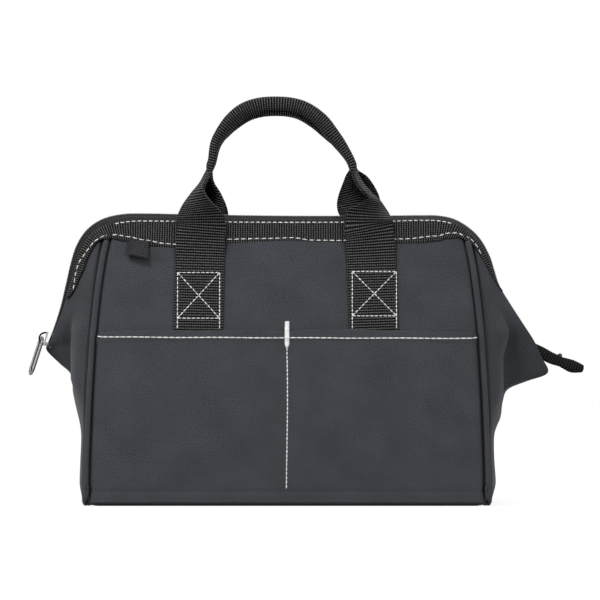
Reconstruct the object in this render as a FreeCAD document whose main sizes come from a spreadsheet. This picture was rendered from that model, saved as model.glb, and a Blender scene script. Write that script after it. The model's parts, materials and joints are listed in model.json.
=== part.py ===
"""A zippered tool bag with a wide mouth: leaning walls on a flat base, folded ends, a zip and two handles.

Millimetres. The origin is the centre of the base's underside, +X to the bag's right as seen from the front,
-Y the front and +Z up. The bag is modelled zipped shut.
"""

import FreeCAD, Part
import math
import os
import Sketcher
from FreeCAD import Placement, Rotation, Vector

SIZES = [
    ("base_length", 306, "front panel, width at the base"),
    ("base_depth", 190, "base, front to rear"),
    ("base_corner", 6, "corner radius of the base"),
    ("bottom_cloth", 2, "bottom panel thickness"),
    ("board_thickness", 3, "stiffening board"),
    ("board_margin", 7, "board edge to the base edge"),
    ("wall_cloth", 2.4, "wall panel with its lining"),
    ("end_cloth", 1.6, "end panel thickness"),
    ("seam_gap", 0.3, "clearance between pieces that move apart"),
    ("piping_width", 4.4, "piping cord"),
    ("side_mid_height", 137, "up the wall, where the sides are half drawn in"),
    ("side_mid_draw", 5.2, "how far the side is drawn in there"),
    ("side_top_draw", 15.8, "how far the side is drawn in at the top of the piping"),
    ("piping_drop", 15, "end of the piping below the mouth"),
    ("mouth_corner_cut", 12, "how far the wall's top corners are cut off for the round mouth corners"),
    ("mouth_height", 221, "zip above the floor"),
    ("zip_width", 20, "both zip tapes, edge to edge"),
    ("tape_thickness", 1, "zip tape"),
    ("zip_slot", 1.6, "between the two rows of coil"),
    ("coil_width", 2.4, "one row of coil"),
    ("coil_height", 2, "coil above its tape"),
    ("frame_wire", 3, "steel wire of the mouth frame"),
    ("left_tip_out", 187, "left wing tip from the middle"),
    ("left_tip_height", 118, "left wing tip above the floor"),
    ("left_corner_out", 158, "where the left zip run would meet the top run"),
    ("left_corner_radius", 40, "left mouth corner"),
    ("right_tip_out", 202, "right wing tip from the middle"),
    ("right_tip_height", 101, "right wing tip above the floor"),
    ("right_corner_out", 141, "where the right zip run would meet the top run"),
    ("right_corner_radius", 28, "right mouth corner"),
    ("end_base_swell", 3, "end panel beyond the piping, at the base"),
    ("end_waist_height", 52, "height of the end panel's waist"),
    ("end_waist_swell", 5, "end panel beyond the piping, at the waist"),
    ("end_neck_drop", 15, "neck of the end panel below the wing tip"),
    ("end_neck_swell", 15, "end panel beyond the piping, at the neck"),
    ("pocket_height", 141, "pocket, up the wall"),
    ("pocket_cloth", 1.8, "pocket thickness"),
    ("pocket_gape", 2.6, "pocket mouth, front to back"),
    ("pocket_seam", 6, "sewn margin of the pocket"),
    ("divider_width", 3, "sewn line between the two halves of the pocket"),
    ("band_width", 21, "mouth band"),
    ("band_cloth", 2, "mouth band thickness"),
    ("strap_width", 38, "webbing"),
    ("strap_thickness", 2, "webbing"),
    ("strap_spacing", 136, "strap to strap, middle to middle"),
    ("strap_tuck", 8, "strap end tucked into the pocket's hem"),
    ("strap_step", 4, "length in which the strap climbs onto the band"),
    ("tab_width", 18, "small cloth tab under the band"),
    ("tab_length", 14, "small cloth tab"),
    ("tab_thickness", 2.6, "small cloth tab, two layers"),
    ("tab_in", 13.2, "small cloth tab from the left end of the mouth band"),
    ("handle_root", 6, "handle's bend below the mouth, along the wall"),
    ("handle_roll", 3.4, "strap where it bends into the handle"),
    ("handle_tilt", 7, "degrees that the handle leans inwards"),
    ("neck_height", 50, "where the strap is rolled round, above its bend"),
    ("left_neck_out", 58, "left neck of the handle from the middle"),
    ("right_neck_out", 52, "right neck of the handle from the middle"),
    ("handle_peak", 124, "where the handle's two sides would meet"),
    ("peak_shift", 5, "that point, left of the middle"),
    ("grip_bend", 45, "bend of the grip"),
    ("grip_width", 15, "rolled grip"),
    ("slider_length", 11, "zip slider"),
    ("slider_width", 9, "zip slider"),
    ("slider_nose", 7, "zip slider at its narrow end"),
    ("slider_plate", 1.3, "slider plates"),
    ("slider_rest", 8, "slider's middle from the wing tip, along the zip"),
    ("post_width", 1, "slider's dividing post"),
    ("post_length", 3, "slider's dividing post"),
    ("bail_radius", 4.5, "slider's bail"),
    ("bail_wire", 1.4, "slider's bail"),
    ("ring_length", 32, "pull ring"),
    ("ring_width", 14, "pull ring"),
    ("ring_wire", 2.2, "pull ring"),
    ("ring_lift", 1.25, "pull ring above the slider's plate, in the bail"),
    ("ring_tilt", 18, "degrees that the ring hangs outwards"),
    ("ring_turn", 12, "degrees that the ring is turned about its length"),
    ("tail_length", 30, "zip tail past the right wing"),
    ("tail_width", 8, "zip tail"),
    ("tail_thickness", 4, "zip tail, folded"),
    ("tail_droop", 25, "degrees that the tail slopes down"),
    ("tail_root", 18, "joined end of the zip at the right wing tip"),
    ("tail_leave", 14, "where the tail leaves the zip, from the tip"),
    ("tail_tab_length", 19, "folded tab on the tail"),
    ("tail_tab_cloth", 1.1, "folded tab's webbing"),
    ("stop_size", 3, "crimped stop on the tail"),
]

doc = FreeCAD.newDocument("tool_bag")
sheet = doc.addObject("Spreadsheet::Sheet", "sizes")
for row, (alias, value, words) in enumerate(SIZES, 1):
    sheet.set(f"A{row}", words)
    sheet.set(f"B{row}", str(value))
    sheet.setAlias(f"B{row}", alias)
doc.recompute()

# The front wall is drawn flat, x across and y up the cloth, and leans back about its lower edge
HINGE_OUT = "((sizes.base_depth - sizes.wall_cloth) / 2)"
HINGE_UP = "(sizes.bottom_cloth + sizes.seam_gap + sizes.wall_cloth / 2)"
RUN = f"({HINGE_OUT} - sizes.zip_width / 2 - sizes.wall_cloth)"
RISE = f"(sizes.mouth_height - {HINGE_UP})"
LEAN = f"atan({RUN} / {RISE})"
SLOPE = f"sqrt(({RUN}) ^ 2 + ({RISE}) ^ 2)"
FACE = "(sizes.wall_cloth / 2)"
SIDE = "(sizes.base_length / 2)"
PIPING_OUT = f"({SIDE} + sizes.seam_gap + sizes.piping_width / 2)"
PIPING_TOP = f"({SLOPE} - sizes.piping_drop)"
BAND_FOOT = f"({SLOPE} - sizes.seam_gap - sizes.band_width)"
STRAP_FACE = f"({FACE} + sizes.strap_thickness)"
STRAP_TOP_FACE = f"({FACE} + sizes.band_cloth + sizes.strap_thickness)"


def worth(formula):
    """The number that a formula or a name of the sheet stands for, angles in degrees."""
    found = sheet.evalExpression(f"sizes.{formula}" if formula.isidentifier() else formula)
    return float(getattr(found, "Value", found))


nodes = {}


def keep(node, thing):
    """Names a finished sub-part."""
    thing.Label = node
    nodes[node] = thing
    return thing


def feature(node, shape, place=None):
    """A sub-part whose shape is worked out here."""
    thing = doc.addObject("Part::Feature", node)
    thing.Shape = shape
    if place:
        thing.Placement = place
    return keep(node, thing)


def new_body(node):
    return keep(node, doc.addObject("PartDesign::Body", node))


def bind(thing, **formulas):
    """Ties properties to the sheet; a double underscore stands for a dot."""
    for name, formula in formulas.items():
        thing.setExpression(name.replace("__", "."), str(formula))


def lean_on_front(thing, across="0"):
    """Stands a piece drawn flat against the front wall, moved sideways by a formula."""
    thing.Placement = Placement(Vector(), Rotation(Vector(1, 0, 0), 90))
    bind(thing, Placement__Base__x=across, Placement__Base__y=f"-{HINGE_OUT}")
    bind(thing, Placement__Base__z=HINGE_UP, Placement__Rotation__Angle=f"90 deg - {LEAN}")


def place_point(sketch, geometry, end, corner):
    """Holds one end of a line or arc at a corner given as two formulas."""
    for kind, formula in zip(("DistanceX", "DistanceY"), corner):
        rule = Sketcher.Constraint(kind, -1, 1, geometry, end, worth(formula))
        sketch.setExpression(f"Constraints[{sketch.addConstraint(rule)}]", formula)


def draw(body, plane, corners, bows=None, lift="0", closed=True):
    """A sketch through corners, each a pair of formulas; bows gives a point that an edge bends through."""
    sketch = body.newObject("Sketcher::SketchObject", body.Name + "_outline")
    support = next(f for f in body.Origin.OriginFeatures if f.Role == plane)
    sketch.AttachmentSupport = [(support, "")]
    sketch.MapMode = "FlatFace"
    sketch.setExpression("AttachmentOffset.Base.z", lift)
    spots = [Vector(worth(x), worth(y), 0) for x, y in corners]
    count = len(corners) if closed else len(corners) - 1
    first_end = []
    for i in range(count):
        here, there = spots[i], spots[(i + 1) % len(spots)]
        if bows and i in bows:
            through = Vector(worth(bows[i][0]), worth(bows[i][1]), 0)
            bent = Part.Arc(here, through, there).toShape().Curve
            arc = Part.Circle(bent.Center, Vector(0, 0, 1), bent.Radius)
            turned = (through - here).cross(there - here).z < 0
            start, finish = (there, here) if turned else (here, there)
            sketch.addGeometry(Part.ArcOfCircle(arc, arc.parameter(start), arc.parameter(finish)))
            first_end.append(2 if turned else 1)
        else:
            sketch.addGeometry(Part.LineSegment(here, there))
            first_end.append(1)
    for i in range(count):
        place_point(sketch, i, first_end[i], corners[i])
        if closed or i + 1 < count:
            after = (i + 1) % count
            joint = Sketcher.Constraint("Coincident", i, 3 - first_end[i], after, first_end[after])
            sketch.addConstraint(joint)
    if not closed:
        place_point(sketch, count - 1, 3 - first_end[-1], corners[-1])
    for i, bow in (bows or {}).items():
        point = sketch.addGeometry(Part.Point(Vector(worth(bow[0]), worth(bow[1]), 0)), True)
        place_point(sketch, point, 1, bow)
        sketch.addConstraint(Sketcher.Constraint("PointOnObject", point, 1, i))
    return sketch


def pad(body, sketch, depth, both_ways=False, backwards=False):
    made = body.newObject("PartDesign::Pad", body.Name + "_pad")
    made.Profile = sketch
    if both_ways:
        made.SideType = "Symmetric"
    made.Reversed = backwards
    bind(made, Length=depth)
    return made


def rectangle(left, low, right, high):
    return [(left, low), (right, low), (right, high), (left, high)]


def mirrored(node, source):
    """The same sub-part at the rear of the bag."""
    made = doc.addObject("Part::Mirroring", node)
    made.Source = nodes[source]
    made.Normal = Vector(0, 1, 0)
    return keep(node, made)


# Base: the bottom panel, the board that lies in it and the piping along its two ends
bottom = new_body("bottom_panel")
half_depth = "sizes.base_depth / 2"
bottom_slab = pad(
    bottom, draw(bottom, "XY_Plane", rectangle(f"-{SIDE}", f"-{half_depth}", SIDE, half_depth)),
    "sizes.bottom_cloth")
doc.recompute()
bottom_edges = [
    f"Edge{i}" for i, edge in enumerate(bottom_slab.Shape.Edges, 1)
    if abs(edge.Vertexes[0].Z - edge.Vertexes[-1].Z) > worth("bottom_cloth") / 2
]
rounded = bottom.newObject("PartDesign::Fillet", "bottom_corners")
rounded.Base = (bottom_slab, bottom_edges)
bind(rounded, Radius="sizes.base_corner")

board = new_body("base_board")
board_side = f"({SIDE} - sizes.board_margin)"
board_depth = "(sizes.base_depth / 2 - sizes.board_margin)"
pad(board, draw(board, "XY_Plane", rectangle(f"-{board_side}", f"-{board_depth}", board_side, board_depth),
                lift="sizes.bottom_cloth"), "sizes.board_thickness")

for name, sign in (("left", "-"), ("right", "")):
    cord = keep(f"{name}_base_piping", doc.addObject("Part::Cylinder", f"{name}_base_piping"))
    cord.Placement = Placement(Vector(), Rotation(Vector(1, 0, 0), -90))
    bind(cord, Radius="sizes.piping_width / 2", Height="sizes.base_depth")
    bind(cord, Placement__Base__x=f"{sign}{PIPING_OUT}", Placement__Base__y=f"-{half_depth}")
    bind(cord, Placement__Base__z="sizes.piping_width / 2")

# Front panel: drawn in towards the mouth along an arc that the piping follows
SIDE_MID = f"({SIDE} - sizes.side_mid_draw)"
SIDE_TOP = f"({SIDE} - sizes.side_top_draw)"
CROWN = f"({SIDE_TOP} - sizes.mouth_corner_cut)"
panel = new_body("front_panel")
panel_top = f"({SLOPE} - sizes.seam_gap)"
panel_outline = draw(
    panel, "XY_Plane",
    [(f"-{SIDE}", "0"), (SIDE, "0"), (SIDE_TOP, PIPING_TOP),
     (CROWN, panel_top), (f"-{CROWN}", panel_top), (f"-{SIDE_TOP}", PIPING_TOP)],
    bows={1: (SIDE_MID, "sizes.side_mid_height"), 5: (f"-{SIDE_MID}", "sizes.side_mid_height")},
)
pad(panel, panel_outline, "sizes.wall_cloth", both_ways=True)
lean_on_front(panel)

piping_foot = "(sizes.piping_width / 2 + sizes.seam_gap)"
for name, sign in (("left", "-"), ("right", "")):
    piping = new_body(f"front_{name}_piping")
    line = draw(
        piping, "XY_Plane",
        [(f"{sign}{PIPING_OUT}", piping_foot), (f"{sign}({PIPING_OUT} - sizes.side_top_draw)", PIPING_TOP)],
        bows={0: (f"{sign}({PIPING_OUT} - sizes.side_mid_draw)", "sizes.side_mid_height")},
        closed=False,
    )
    ring = piping.newObject("Sketcher::SketchObject", piping.Name + "_section")
    ring.AttachmentSupport = [(next(f for f in piping.Origin.OriginFeatures if f.Role == "XZ_Plane"), "")]
    ring.MapMode = "FlatFace"
    bind(ring, AttachmentOffset__Base__x=f"{sign}{PIPING_OUT}", AttachmentOffset__Base__z=f"-{piping_foot}")
    ring.addGeometry(Part.Circle(Vector(), Vector(0, 0, 1), worth("piping_width") / 2))
    ring.addConstraint(Sketcher.Constraint("Coincident", 0, 3, -1, 1))
    ring.addConstraint(Sketcher.Constraint("Radius", 0, worth("piping_width") / 2))
    ring.setExpression("Constraints[1]", "sizes.piping_width / 2")
    sweep = piping.newObject("PartDesign::AdditivePipe", piping.Name + "_sweep")
    sweep.Profile = ring
    sweep.Spine = (line, ["Edge1"])
    lean_on_front(piping)

# Pocket: a sewn-down sheet that stands off the panel towards its open top, with a sewn divider
def wedge(name, left, right, top_left, top_right, foot, top, thin, thick):
    """A slab on the wall's face from foot to top, from thin to thick on the way up."""
    made = doc.addObject("Part::Wedge", name)
    bind(made, Xmin=left, Xmax=right, X2min=top_left, X2max=top_right, Ymin=foot, Ymax=top)
    bind(made, Zmin=FACE, Zmax=f"{FACE} + {thin}", Z2min=FACE, Z2max=f"{FACE} + {thick}")
    return made


pocket_half = f"({SIDE} - sizes.seam_gap)"
pocket_top_half = f"({SIDE_MID} - sizes.seam_gap)"
pouch_in = "(sizes.divider_width / 2)"
pouch_out = f"({pocket_half} - sizes.pocket_seam)"
pouch_top_out = f"({pocket_top_half} - sizes.pocket_seam)"
hem_over = "(sizes.pocket_height + sizes.pocket_cloth)"
slab = wedge("pocket_slab", f"-{pocket_half}", pocket_half, f"-{pocket_top_half}", pocket_top_half,
             "0", "sizes.pocket_height", "sizes.pocket_cloth",
             "sizes.pocket_cloth + sizes.pocket_gape")
pouches = [
    wedge("right_pouch", pouch_in, pouch_out, pouch_in, pouch_top_out, "sizes.pocket_seam", hem_over,
          "sizes.seam_gap", "sizes.pocket_gape"),
    wedge("left_pouch", f"-{pouch_out}", f"-{pouch_in}", f"-{pouch_top_out}", f"-{pouch_in}",
          "sizes.pocket_seam", hem_over, "sizes.seam_gap", "sizes.pocket_gape"),
]
hollow = doc.addObject("Part::MultiFuse", "pouches")
hollow.Shapes = pouches
pocket = keep("front_pocket", doc.addObject("Part::Cut", "front_pocket"))
pocket.Base = slab
pocket.Tool = hollow
lean_on_front(pocket)

# Mouth band, and the small tab under it
band = new_body("front_mouth_band")
band_corners = [
    (f"-{SIDE_TOP}", BAND_FOOT), (SIDE_TOP, BAND_FOOT), (SIDE_TOP, PIPING_TOP),
    (CROWN, panel_top), (f"-{CROWN}", panel_top), (f"-{SIDE_TOP}", PIPING_TOP),
]
pad(band, draw(band, "XY_Plane", band_corners, lift=FACE), "sizes.band_cloth")
lean_on_front(band)

tab = new_body("cloth_tab")
tab_left = f"(sizes.tab_in - {SIDE_TOP})"
tab_right = f"({tab_left} + sizes.tab_width)"
pad(tab, draw(tab, "XY_Plane", rectangle(tab_left, f"{BAND_FOOT} - sizes.tab_length", tab_right, BAND_FOOT),
              lift=FACE), "sizes.tab_thickness")
lean_on_front(tab)

# Strap ends: webbing that comes out of the pocket's hem, climbs onto the band and ends at the handle's bend
strap_foot = "(sizes.pocket_height - sizes.strap_tuck)"
strap_profile = [
    (strap_foot, FACE),
    (f"{BAND_FOOT} - sizes.strap_step", FACE),
    (f"{BAND_FOOT} - sizes.seam_gap", f"{FACE} + sizes.band_cloth"),
    (panel_top, f"{FACE} + sizes.band_cloth"),
    (panel_top, STRAP_TOP_FACE),
    (f"{BAND_FOOT} - sizes.seam_gap", STRAP_TOP_FACE),
    (f"{BAND_FOOT} - sizes.strap_step", STRAP_FACE),
    (strap_foot, STRAP_FACE),
]
for name, sign in (("left", "-"), ("right", "")):
    strap = new_body(f"front_{name}_strap")
    pad(strap, draw(strap, "YZ_Plane", strap_profile), "sizes.strap_width", both_ways=True)
    lean_on_front(strap, f"{sign}sizes.strap_spacing / 2")


# The closed mouth: a line in the middle plane, from the left wing tip over the top to the right one
def mouth_side(sign, tip_out, tip_height, corner_out, corner_radius, offset):
    """Tip, then the start, middle and end of the corner arc, offset outwards from the zip's line."""
    tip = Vector(sign * worth(tip_out), 0, worth(tip_height))
    corner = Vector(sign * worth(corner_out), 0, worth("mouth_height"))
    along = (corner - tip).normalize()
    outward = Vector(sign * along.z, 0, -sign * along.x)
    radius = worth(corner_radius) + offset
    turn = along.getAngle(Vector(-sign, 0, 0))
    bend = corner + Vector(sign * math.tan(turn / 2) * offset, 0, offset)
    reach = radius * math.tan(turn / 2)
    crown = bend + Vector(-sign * reach, 0, 0)
    centre = crown - Vector(0, 0, radius)
    middle = centre + (bend - centre).normalize() * radius
    return tip + outward * offset, bend - along * reach, middle, crown, along


def mouth_sides(offset):
    """Both sides of the mouth, left and right, offset outwards from the zip's line."""
    names = ("tip_out", "tip_height", "corner_out", "corner_radius")
    left = mouth_side(-1, *[f"left_{name}" for name in names], offset)
    right = mouth_side(1, *[f"right_{name}" for name in names], offset)
    return left, right


def mouth_edges(offset, left_cut, right_cut):
    """The mouth's line as edges, from left to right, its ends cut back along the zip."""
    left, right = mouth_sides(offset)
    start = left[0] + left[4] * left_cut
    end = right[0] + right[4] * right_cut
    return [
        Part.LineSegment(start, left[1]).toShape(),
        Part.Arc(left[1], left[2], left[3]).toShape(),
        Part.LineSegment(left[3], right[3]).toShape(),
        Part.Arc(right[3], right[2], right[1]).toShape(),
        Part.LineSegment(right[1], end).toShape(),
    ], start, end


def ribbon(inner, outer, near, far, left_cut, right_cut):
    """A strip along the mouth's line, between two offsets and two distances in front of the middle."""
    low, low_start, low_end = mouth_edges(inner, left_cut, right_cut)
    high, high_start, high_end = mouth_edges(outer, left_cut, right_cut)
    ends = [Part.LineSegment(low_start, high_start).toShape(), Part.LineSegment(low_end, high_end).toShape()]
    face = Part.Face(Part.Wire(Part.__sortEdges__(low + high + ends)))
    face.translate(Vector(0, -near, 0))
    return face.extrude(Vector(0, near - far, 0))


gap = worth("seam_gap")
half_tape = worth("tape_thickness") / 2
slot_side = worth("zip_slot") / 2
zip_left_cut = worth("slider_rest") + worth("slider_length") / 2 + gap
zip_right_cut = worth("tail_root") + gap
tape_edge = worth("zip_width") / 2
coil_edge = slot_side + worth("coil_width")
coil_top = half_tape + worth("coil_height")
feature("front_zip_tape", ribbon(-half_tape, half_tape, slot_side, tape_edge, zip_left_cut, zip_right_cut))
feature("front_zip_coil", ribbon(half_tape, coil_top, slot_side, coil_edge, zip_left_cut, zip_right_cut))

# Half of the steel mouth frame, a bent wire in the hem close under the tape
wire_radius = worth("frame_wire") / 2
slider_half = worth("slider_width") / 2
frame_offset = -(half_tape + gap + wire_radius)
frame_edges, frame_start, frame_end = mouth_edges(frame_offset, worth("slider_rest"), worth("slider_rest"))
frame_tangent = frame_edges[0].tangentAt(frame_edges[0].FirstParameter)
wire_section = Part.Wire([Part.Circle(frame_start, frame_tangent, wire_radius).toShape()])
frame_rod = Part.Wire(frame_edges).makePipeShell([wire_section], True, False)
feature("front_frame", frame_rod, Placement(Vector(0, -(slider_half + gap + wire_radius), 0), Rotation()))

# Wings and end panels: cloth from the piping's back to the zip, folded out at the middle of each end
hinge = Vector(0, -worth(HINGE_OUT), worth(HINGE_UP))
lean = math.radians(worth(LEAN))
up_wall = Vector(0, math.sin(lean), math.cos(lean))
out_of_wall = Vector(0, -math.cos(lean), math.sin(lean))
seam_depth = worth("piping_width") / 2 + gap
piping_arc = Part.Arc(
    Vector(worth(PIPING_OUT), worth(piping_foot), 0),
    Vector(worth(f"{PIPING_OUT} - sizes.side_mid_draw"), worth("side_mid_height"), 0),
    Vector(worth(f"{PIPING_OUT} - sizes.side_top_draw"), worth(PIPING_TOP), 0),
).toShape().Curve


def seam_point(sign, height):
    """Where the end cloth meets the back of the front piping, at a height above the floor."""
    up = (height - hinge.z + seam_depth * math.sin(lean)) / math.cos(lean)
    rise = up - piping_arc.Center.y
    out = piping_arc.Center.x + math.sqrt(piping_arc.Radius ** 2 - rise ** 2)
    return hinge + Vector(sign * out, 0, 0) + up_wall * up - out_of_wall * seam_depth


WING_SECTIONS = 8


def wing(sign, side, tip_height):
    """The front half of a folded end above the wing tip: strips from the seam to the zip's edge."""
    cloth = worth("end_cloth")
    tip, shoulder, middle, crown, along = mouth_sides(-half_tape - gap)[side]
    run = Part.Wire([Part.LineSegment(tip + along * cloth, shoulder).toShape(),
                     Part.Arc(shoulder, middle, crown).toShape()])
    zip_points = run.discretize(WING_SECTIONS)
    foot = worth(tip_height) + cloth
    top = (hinge + up_wall * worth(PIPING_TOP) - out_of_wall * seam_depth).z
    sections = []
    for i, zip_point in enumerate(zip_points):
        seam = seam_point(sign, foot + (top - foot) * i / (WING_SECTIONS - 1))
        edge = zip_point + Vector(0, -tape_edge, 0)
        inward = (edge - seam).cross(up_wall).normalize()
        inward = inward * math.copysign(cloth, inward.y)
        sections.append(Part.makePolygon([seam, edge, edge + inward, seam + inward, seam]))
    return Part.makeLoft(sections, True, True)


def end_panel(sign, tip_out, tip_height):
    """The end below the wing tip, one piece from the front seam to the rear one."""
    cloth = worth("end_cloth")
    tip_level = worth(tip_height)
    foot = worth("piping_width") + gap
    neck = tip_level - worth("end_neck_drop")
    waist = worth("end_waist_height")
    levels = [(foot, "end_base_swell"), (waist, "end_waist_swell"), (neck, "end_neck_swell")]
    sections = []
    for height, swell in levels + [(tip_level, None)]:
        seam = seam_point(sign, height)
        nose = abs(seam.x) + worth(swell) if swell else worth(tip_out) - gap
        fold = nose - cloth / 2
        edges = []
        for inset in (0, cloth):
            front = Vector(seam.x - sign * inset, seam.y, height)
            fold_front = Vector(sign * (fold - inset), -tape_edge, height)
            nose_point = Vector(sign * (nose - inset), 0, height)
            fold_rear = Vector(fold_front.x, tape_edge, height)
            rear = Vector(front.x, -front.y, height)
            edges.append([
                Part.LineSegment(front, fold_front).toShape(),
                Part.Arc(fold_front, nose_point, fold_rear).toShape(),
                Part.LineSegment(fold_rear, rear).toShape(),
            ])
        caps = [
            Part.LineSegment(edges[0][0].Vertexes[0].Point, edges[1][0].Vertexes[0].Point).toShape(),
            Part.LineSegment(edges[0][2].Vertexes[-1].Point, edges[1][2].Vertexes[-1].Point).toShape(),
        ]
        sections.append(Part.Wire(Part.__sortEdges__(edges[0] + [caps[1]] + edges[1][::-1] + [caps[0]])))
    return Part.makeLoft(sections, True, True)


for name, sign, side in (("left", -1, 0), ("right", 1, 1)):
    feature(f"front_{name}_wing", wing(sign, side, f"{name}_tip_height"))
    feature(f"{name}_end_panel", end_panel(sign, f"{name}_tip_out", f"{name}_tip_height"))

# Handle: the straps bend up at the mouth, are rolled round at the necks and meet in the grip
bend_radius = worth("handle_roll") / 2
axis_depth = worth(STRAP_TOP_FACE) + gap + bend_radius
axis_up = worth(SLOPE) - worth("handle_root")
handle_axis = hinge + up_wall * axis_up + out_of_wall * axis_depth


def strap_section(half_width, half_depth, place):
    """A strap's section as four edges: flat with half-round sides, or a circle once it is rolled round."""
    if half_width > half_depth:
        flat = half_width - half_depth
        corners = [Vector(-flat, -half_depth), Vector(flat, -half_depth)]
    else:
        corners = [Vector(x, -1).normalize() * half_width for x in (-1, 1)]
    corners += [corner * -1 for corner in corners]
    middles = [Vector(0, -half_depth), Vector(half_width, 0), Vector(0, half_depth), Vector(-half_width, 0)]
    edges = []
    for i, middle in enumerate(middles):
        here, there = corners[i], corners[(i + 1) % 4]
        straight = (here + there).distanceToPoint(middle * 2) < half_depth / 100
        curve = Part.LineSegment(here, there) if straight else Part.Arc(here, middle, there)
        edges.append(curve.toShape())
    line = Part.Wire(edges)
    line.Placement = place
    return line


def handle():
    """In its own plane: x across, z above the bend's axis."""
    grip = worth("grip_width") / 2
    peak = Vector(-worth("peak_shift"), 0, worth("handle_peak"))
    necks = [Vector(-worth("left_neck_out"), 0, worth("neck_height")),
             Vector(worth("right_neck_out"), 0, worth("neck_height"))]
    rises = [(peak - neck).normalize() for neck in necks]
    turn = rises[0].getAngle(rises[1] * -1)
    reach = worth("grip_bend") * math.tan(turn / 2)
    springs = [peak - rise * reach for rise in rises]
    inside = ((rises[0] + rises[1]) * -1).normalize()
    crest = peak + inside * (worth("grip_bend") * (1 / math.cos(turn / 2) - 1))
    path = Part.Wire([
        Part.LineSegment(necks[0], springs[0]).toShape(),
        Part.Arc(springs[0], crest, springs[1]).toShape(),
        Part.LineSegment(springs[1], necks[1]).toShape(),
    ])
    solids = [path.makePipeShell([Part.Wire([Part.Circle(necks[0], rises[0], grip).toShape()])], True, False)]
    flat = worth("strap_width") / 2
    for sign, neck, rise in ((-1, necks[0], rises[0]), (1, necks[1], rises[1])):
        root = Vector(sign * worth("strap_spacing") / 2, 0, 0)
        half_way = (root + neck) / 2
        tip_over = math.degrees(math.atan2(rise.x, rise.z))
        sections = [
            strap_section(flat, bend_radius, Placement(root, Rotation())),
            strap_section((flat + grip) / 2, (bend_radius + grip) / 2,
                          Placement(half_way, Rotation(Vector(0, 1, 0), tip_over / 2))),
            strap_section(grip, grip, Placement(neck, Rotation(Vector(0, 1, 0), tip_over))),
        ]
        solids.append(Part.makeLoft(sections, True, False))
        roll = Part.makeCylinder(bend_radius, 2 * flat, root - Vector(flat, 0, 0), Vector(1, 0, 0))
        solids.append(roll)
    return solids[0].multiFuse(solids[1:]).removeSplitter()


feature("front_handle_grip", handle(),
        Placement(handle_axis, Rotation(Vector(1, 0, 0), -worth("handle_tilt"))))

# The rear wall repeats the front one, without the small tab
REPEATED = ["panel", "left_piping", "right_piping", "pocket", "mouth_band", "left_strap", "right_strap",
            "zip_tape", "zip_coil", "frame", "left_wing", "right_wing", "handle_grip"]
for name in REPEATED:
    mirrored(f"rear_{name}", f"front_{name}")

# Zip slider at the left wing tip: two plates on a post that runs between the rows of coil
left_tip, _, _, _, left_along = mouth_sides(0)[0]
left_out = Vector(-left_along.z, 0, left_along.x)
run_axes = Rotation(left_along, Vector(0, 1, 0), left_out, "XYZ")
slider_middle = left_tip + left_along * worth("slider_rest")
OUTER_PLATE = "(sizes.tape_thickness / 2 + sizes.coil_height + sizes.seam_gap)"
INNER_PLATE = "(-sizes.tape_thickness / 2 - sizes.seam_gap - sizes.slider_plate)"
slider = new_body("slider_body")
slider_back = "(-sizes.slider_length / 2)"
slider_front = "(sizes.slider_length / 2)"
plate = [
    (slider_back, "-sizes.slider_width / 2"), ("0", "-sizes.slider_width / 2"),
    (slider_front, "-sizes.slider_nose / 2"), (slider_front, "sizes.slider_nose / 2"),
    ("0", "sizes.slider_width / 2"), (slider_back, "sizes.slider_width / 2"),
]
post = rectangle(slider_back, "-sizes.post_width / 2", f"{slider_back} + sizes.post_length",
                 "sizes.post_width / 2")
pad(slider, draw(slider, "XY_Plane", post, lift=INNER_PLATE),
    f"{OUTER_PLATE} - {INNER_PLATE} + sizes.slider_plate")
for level in (INNER_PLATE, OUTER_PLATE):
    pad(slider, draw(slider, "XY_Plane", plate, lift=level), "sizes.slider_plate")
slider.Placement = Placement(slider_middle, run_axes)

plate_top = worth(OUTER_PLATE) + worth("slider_plate")
bail = keep("slider_bail", doc.addObject("Part::Torus", "slider_bail"))
bind(bail, Radius1="sizes.bail_radius", Radius2="sizes.bail_wire / 2")
bail.Angle3 = 180
bail.Placement = Placement(
    slider_middle + left_out * plate_top, Rotation(left_along, left_out, Vector(0, -1, 0), "XYZ"))

# Pull ring: an oval of round wire through the bail, hanging a little outwards
ring_radius = worth("ring_wire") / 2
ring_pivot = slider_middle + left_out * (plate_top + worth("ring_lift") + ring_radius)
ring_half = worth("ring_width") / 2 - ring_radius
ring_straight = worth("ring_length") - worth("ring_width")
top_centre = Vector(0, 0, -ring_half)
low_centre = top_centre - Vector(0, 0, ring_straight)
side_step = Vector(0, ring_half, 0)
ring_path = Part.Wire([
    Part.Arc(top_centre - side_step, Vector(), top_centre + side_step).toShape(),
    Part.LineSegment(top_centre + side_step, low_centre + side_step).toShape(),
    Part.Arc(low_centre + side_step, low_centre + top_centre, low_centre - side_step).toShape(),
    Part.LineSegment(low_centre - side_step, top_centre - side_step).toShape(),
])
ring_section = Part.Wire([Part.Circle(top_centre - side_step, Vector(0, 0, 1), ring_radius).toShape()])
ring_hang = Rotation(Vector(0, 1, 0), worth("ring_tilt"))
ring_hang = ring_hang.multiply(Rotation(Vector(0, 0, 1), worth("ring_turn")))
feature("pull_ring", ring_path.makePipeShell([ring_section], True, False), Placement(ring_pivot, ring_hang))

# Zip tail past the right wing: the joined end of the zip, a strip, a folded tab on it and a crimped stop
right_tip, _, _, _, right_along = mouth_sides(0)[1]
right_in = Vector(-right_along.z, 0, right_along.x)
root_axes = Rotation(right_along, Vector(0, 1, 0), right_in, "XYZ")
tail_axes = Rotation(Vector(0, 1, 0), worth("tail_droop"))
tail_start = right_tip + right_along * worth("tail_leave")


def bar(start, axes, low, high):
    """A block between two corners, in axes of its own at start."""
    made = Part.makeBox(high.x - low.x, high.y - low.y, high.z - low.z, low)
    made.Placement = Placement(start, axes)
    return made


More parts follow.
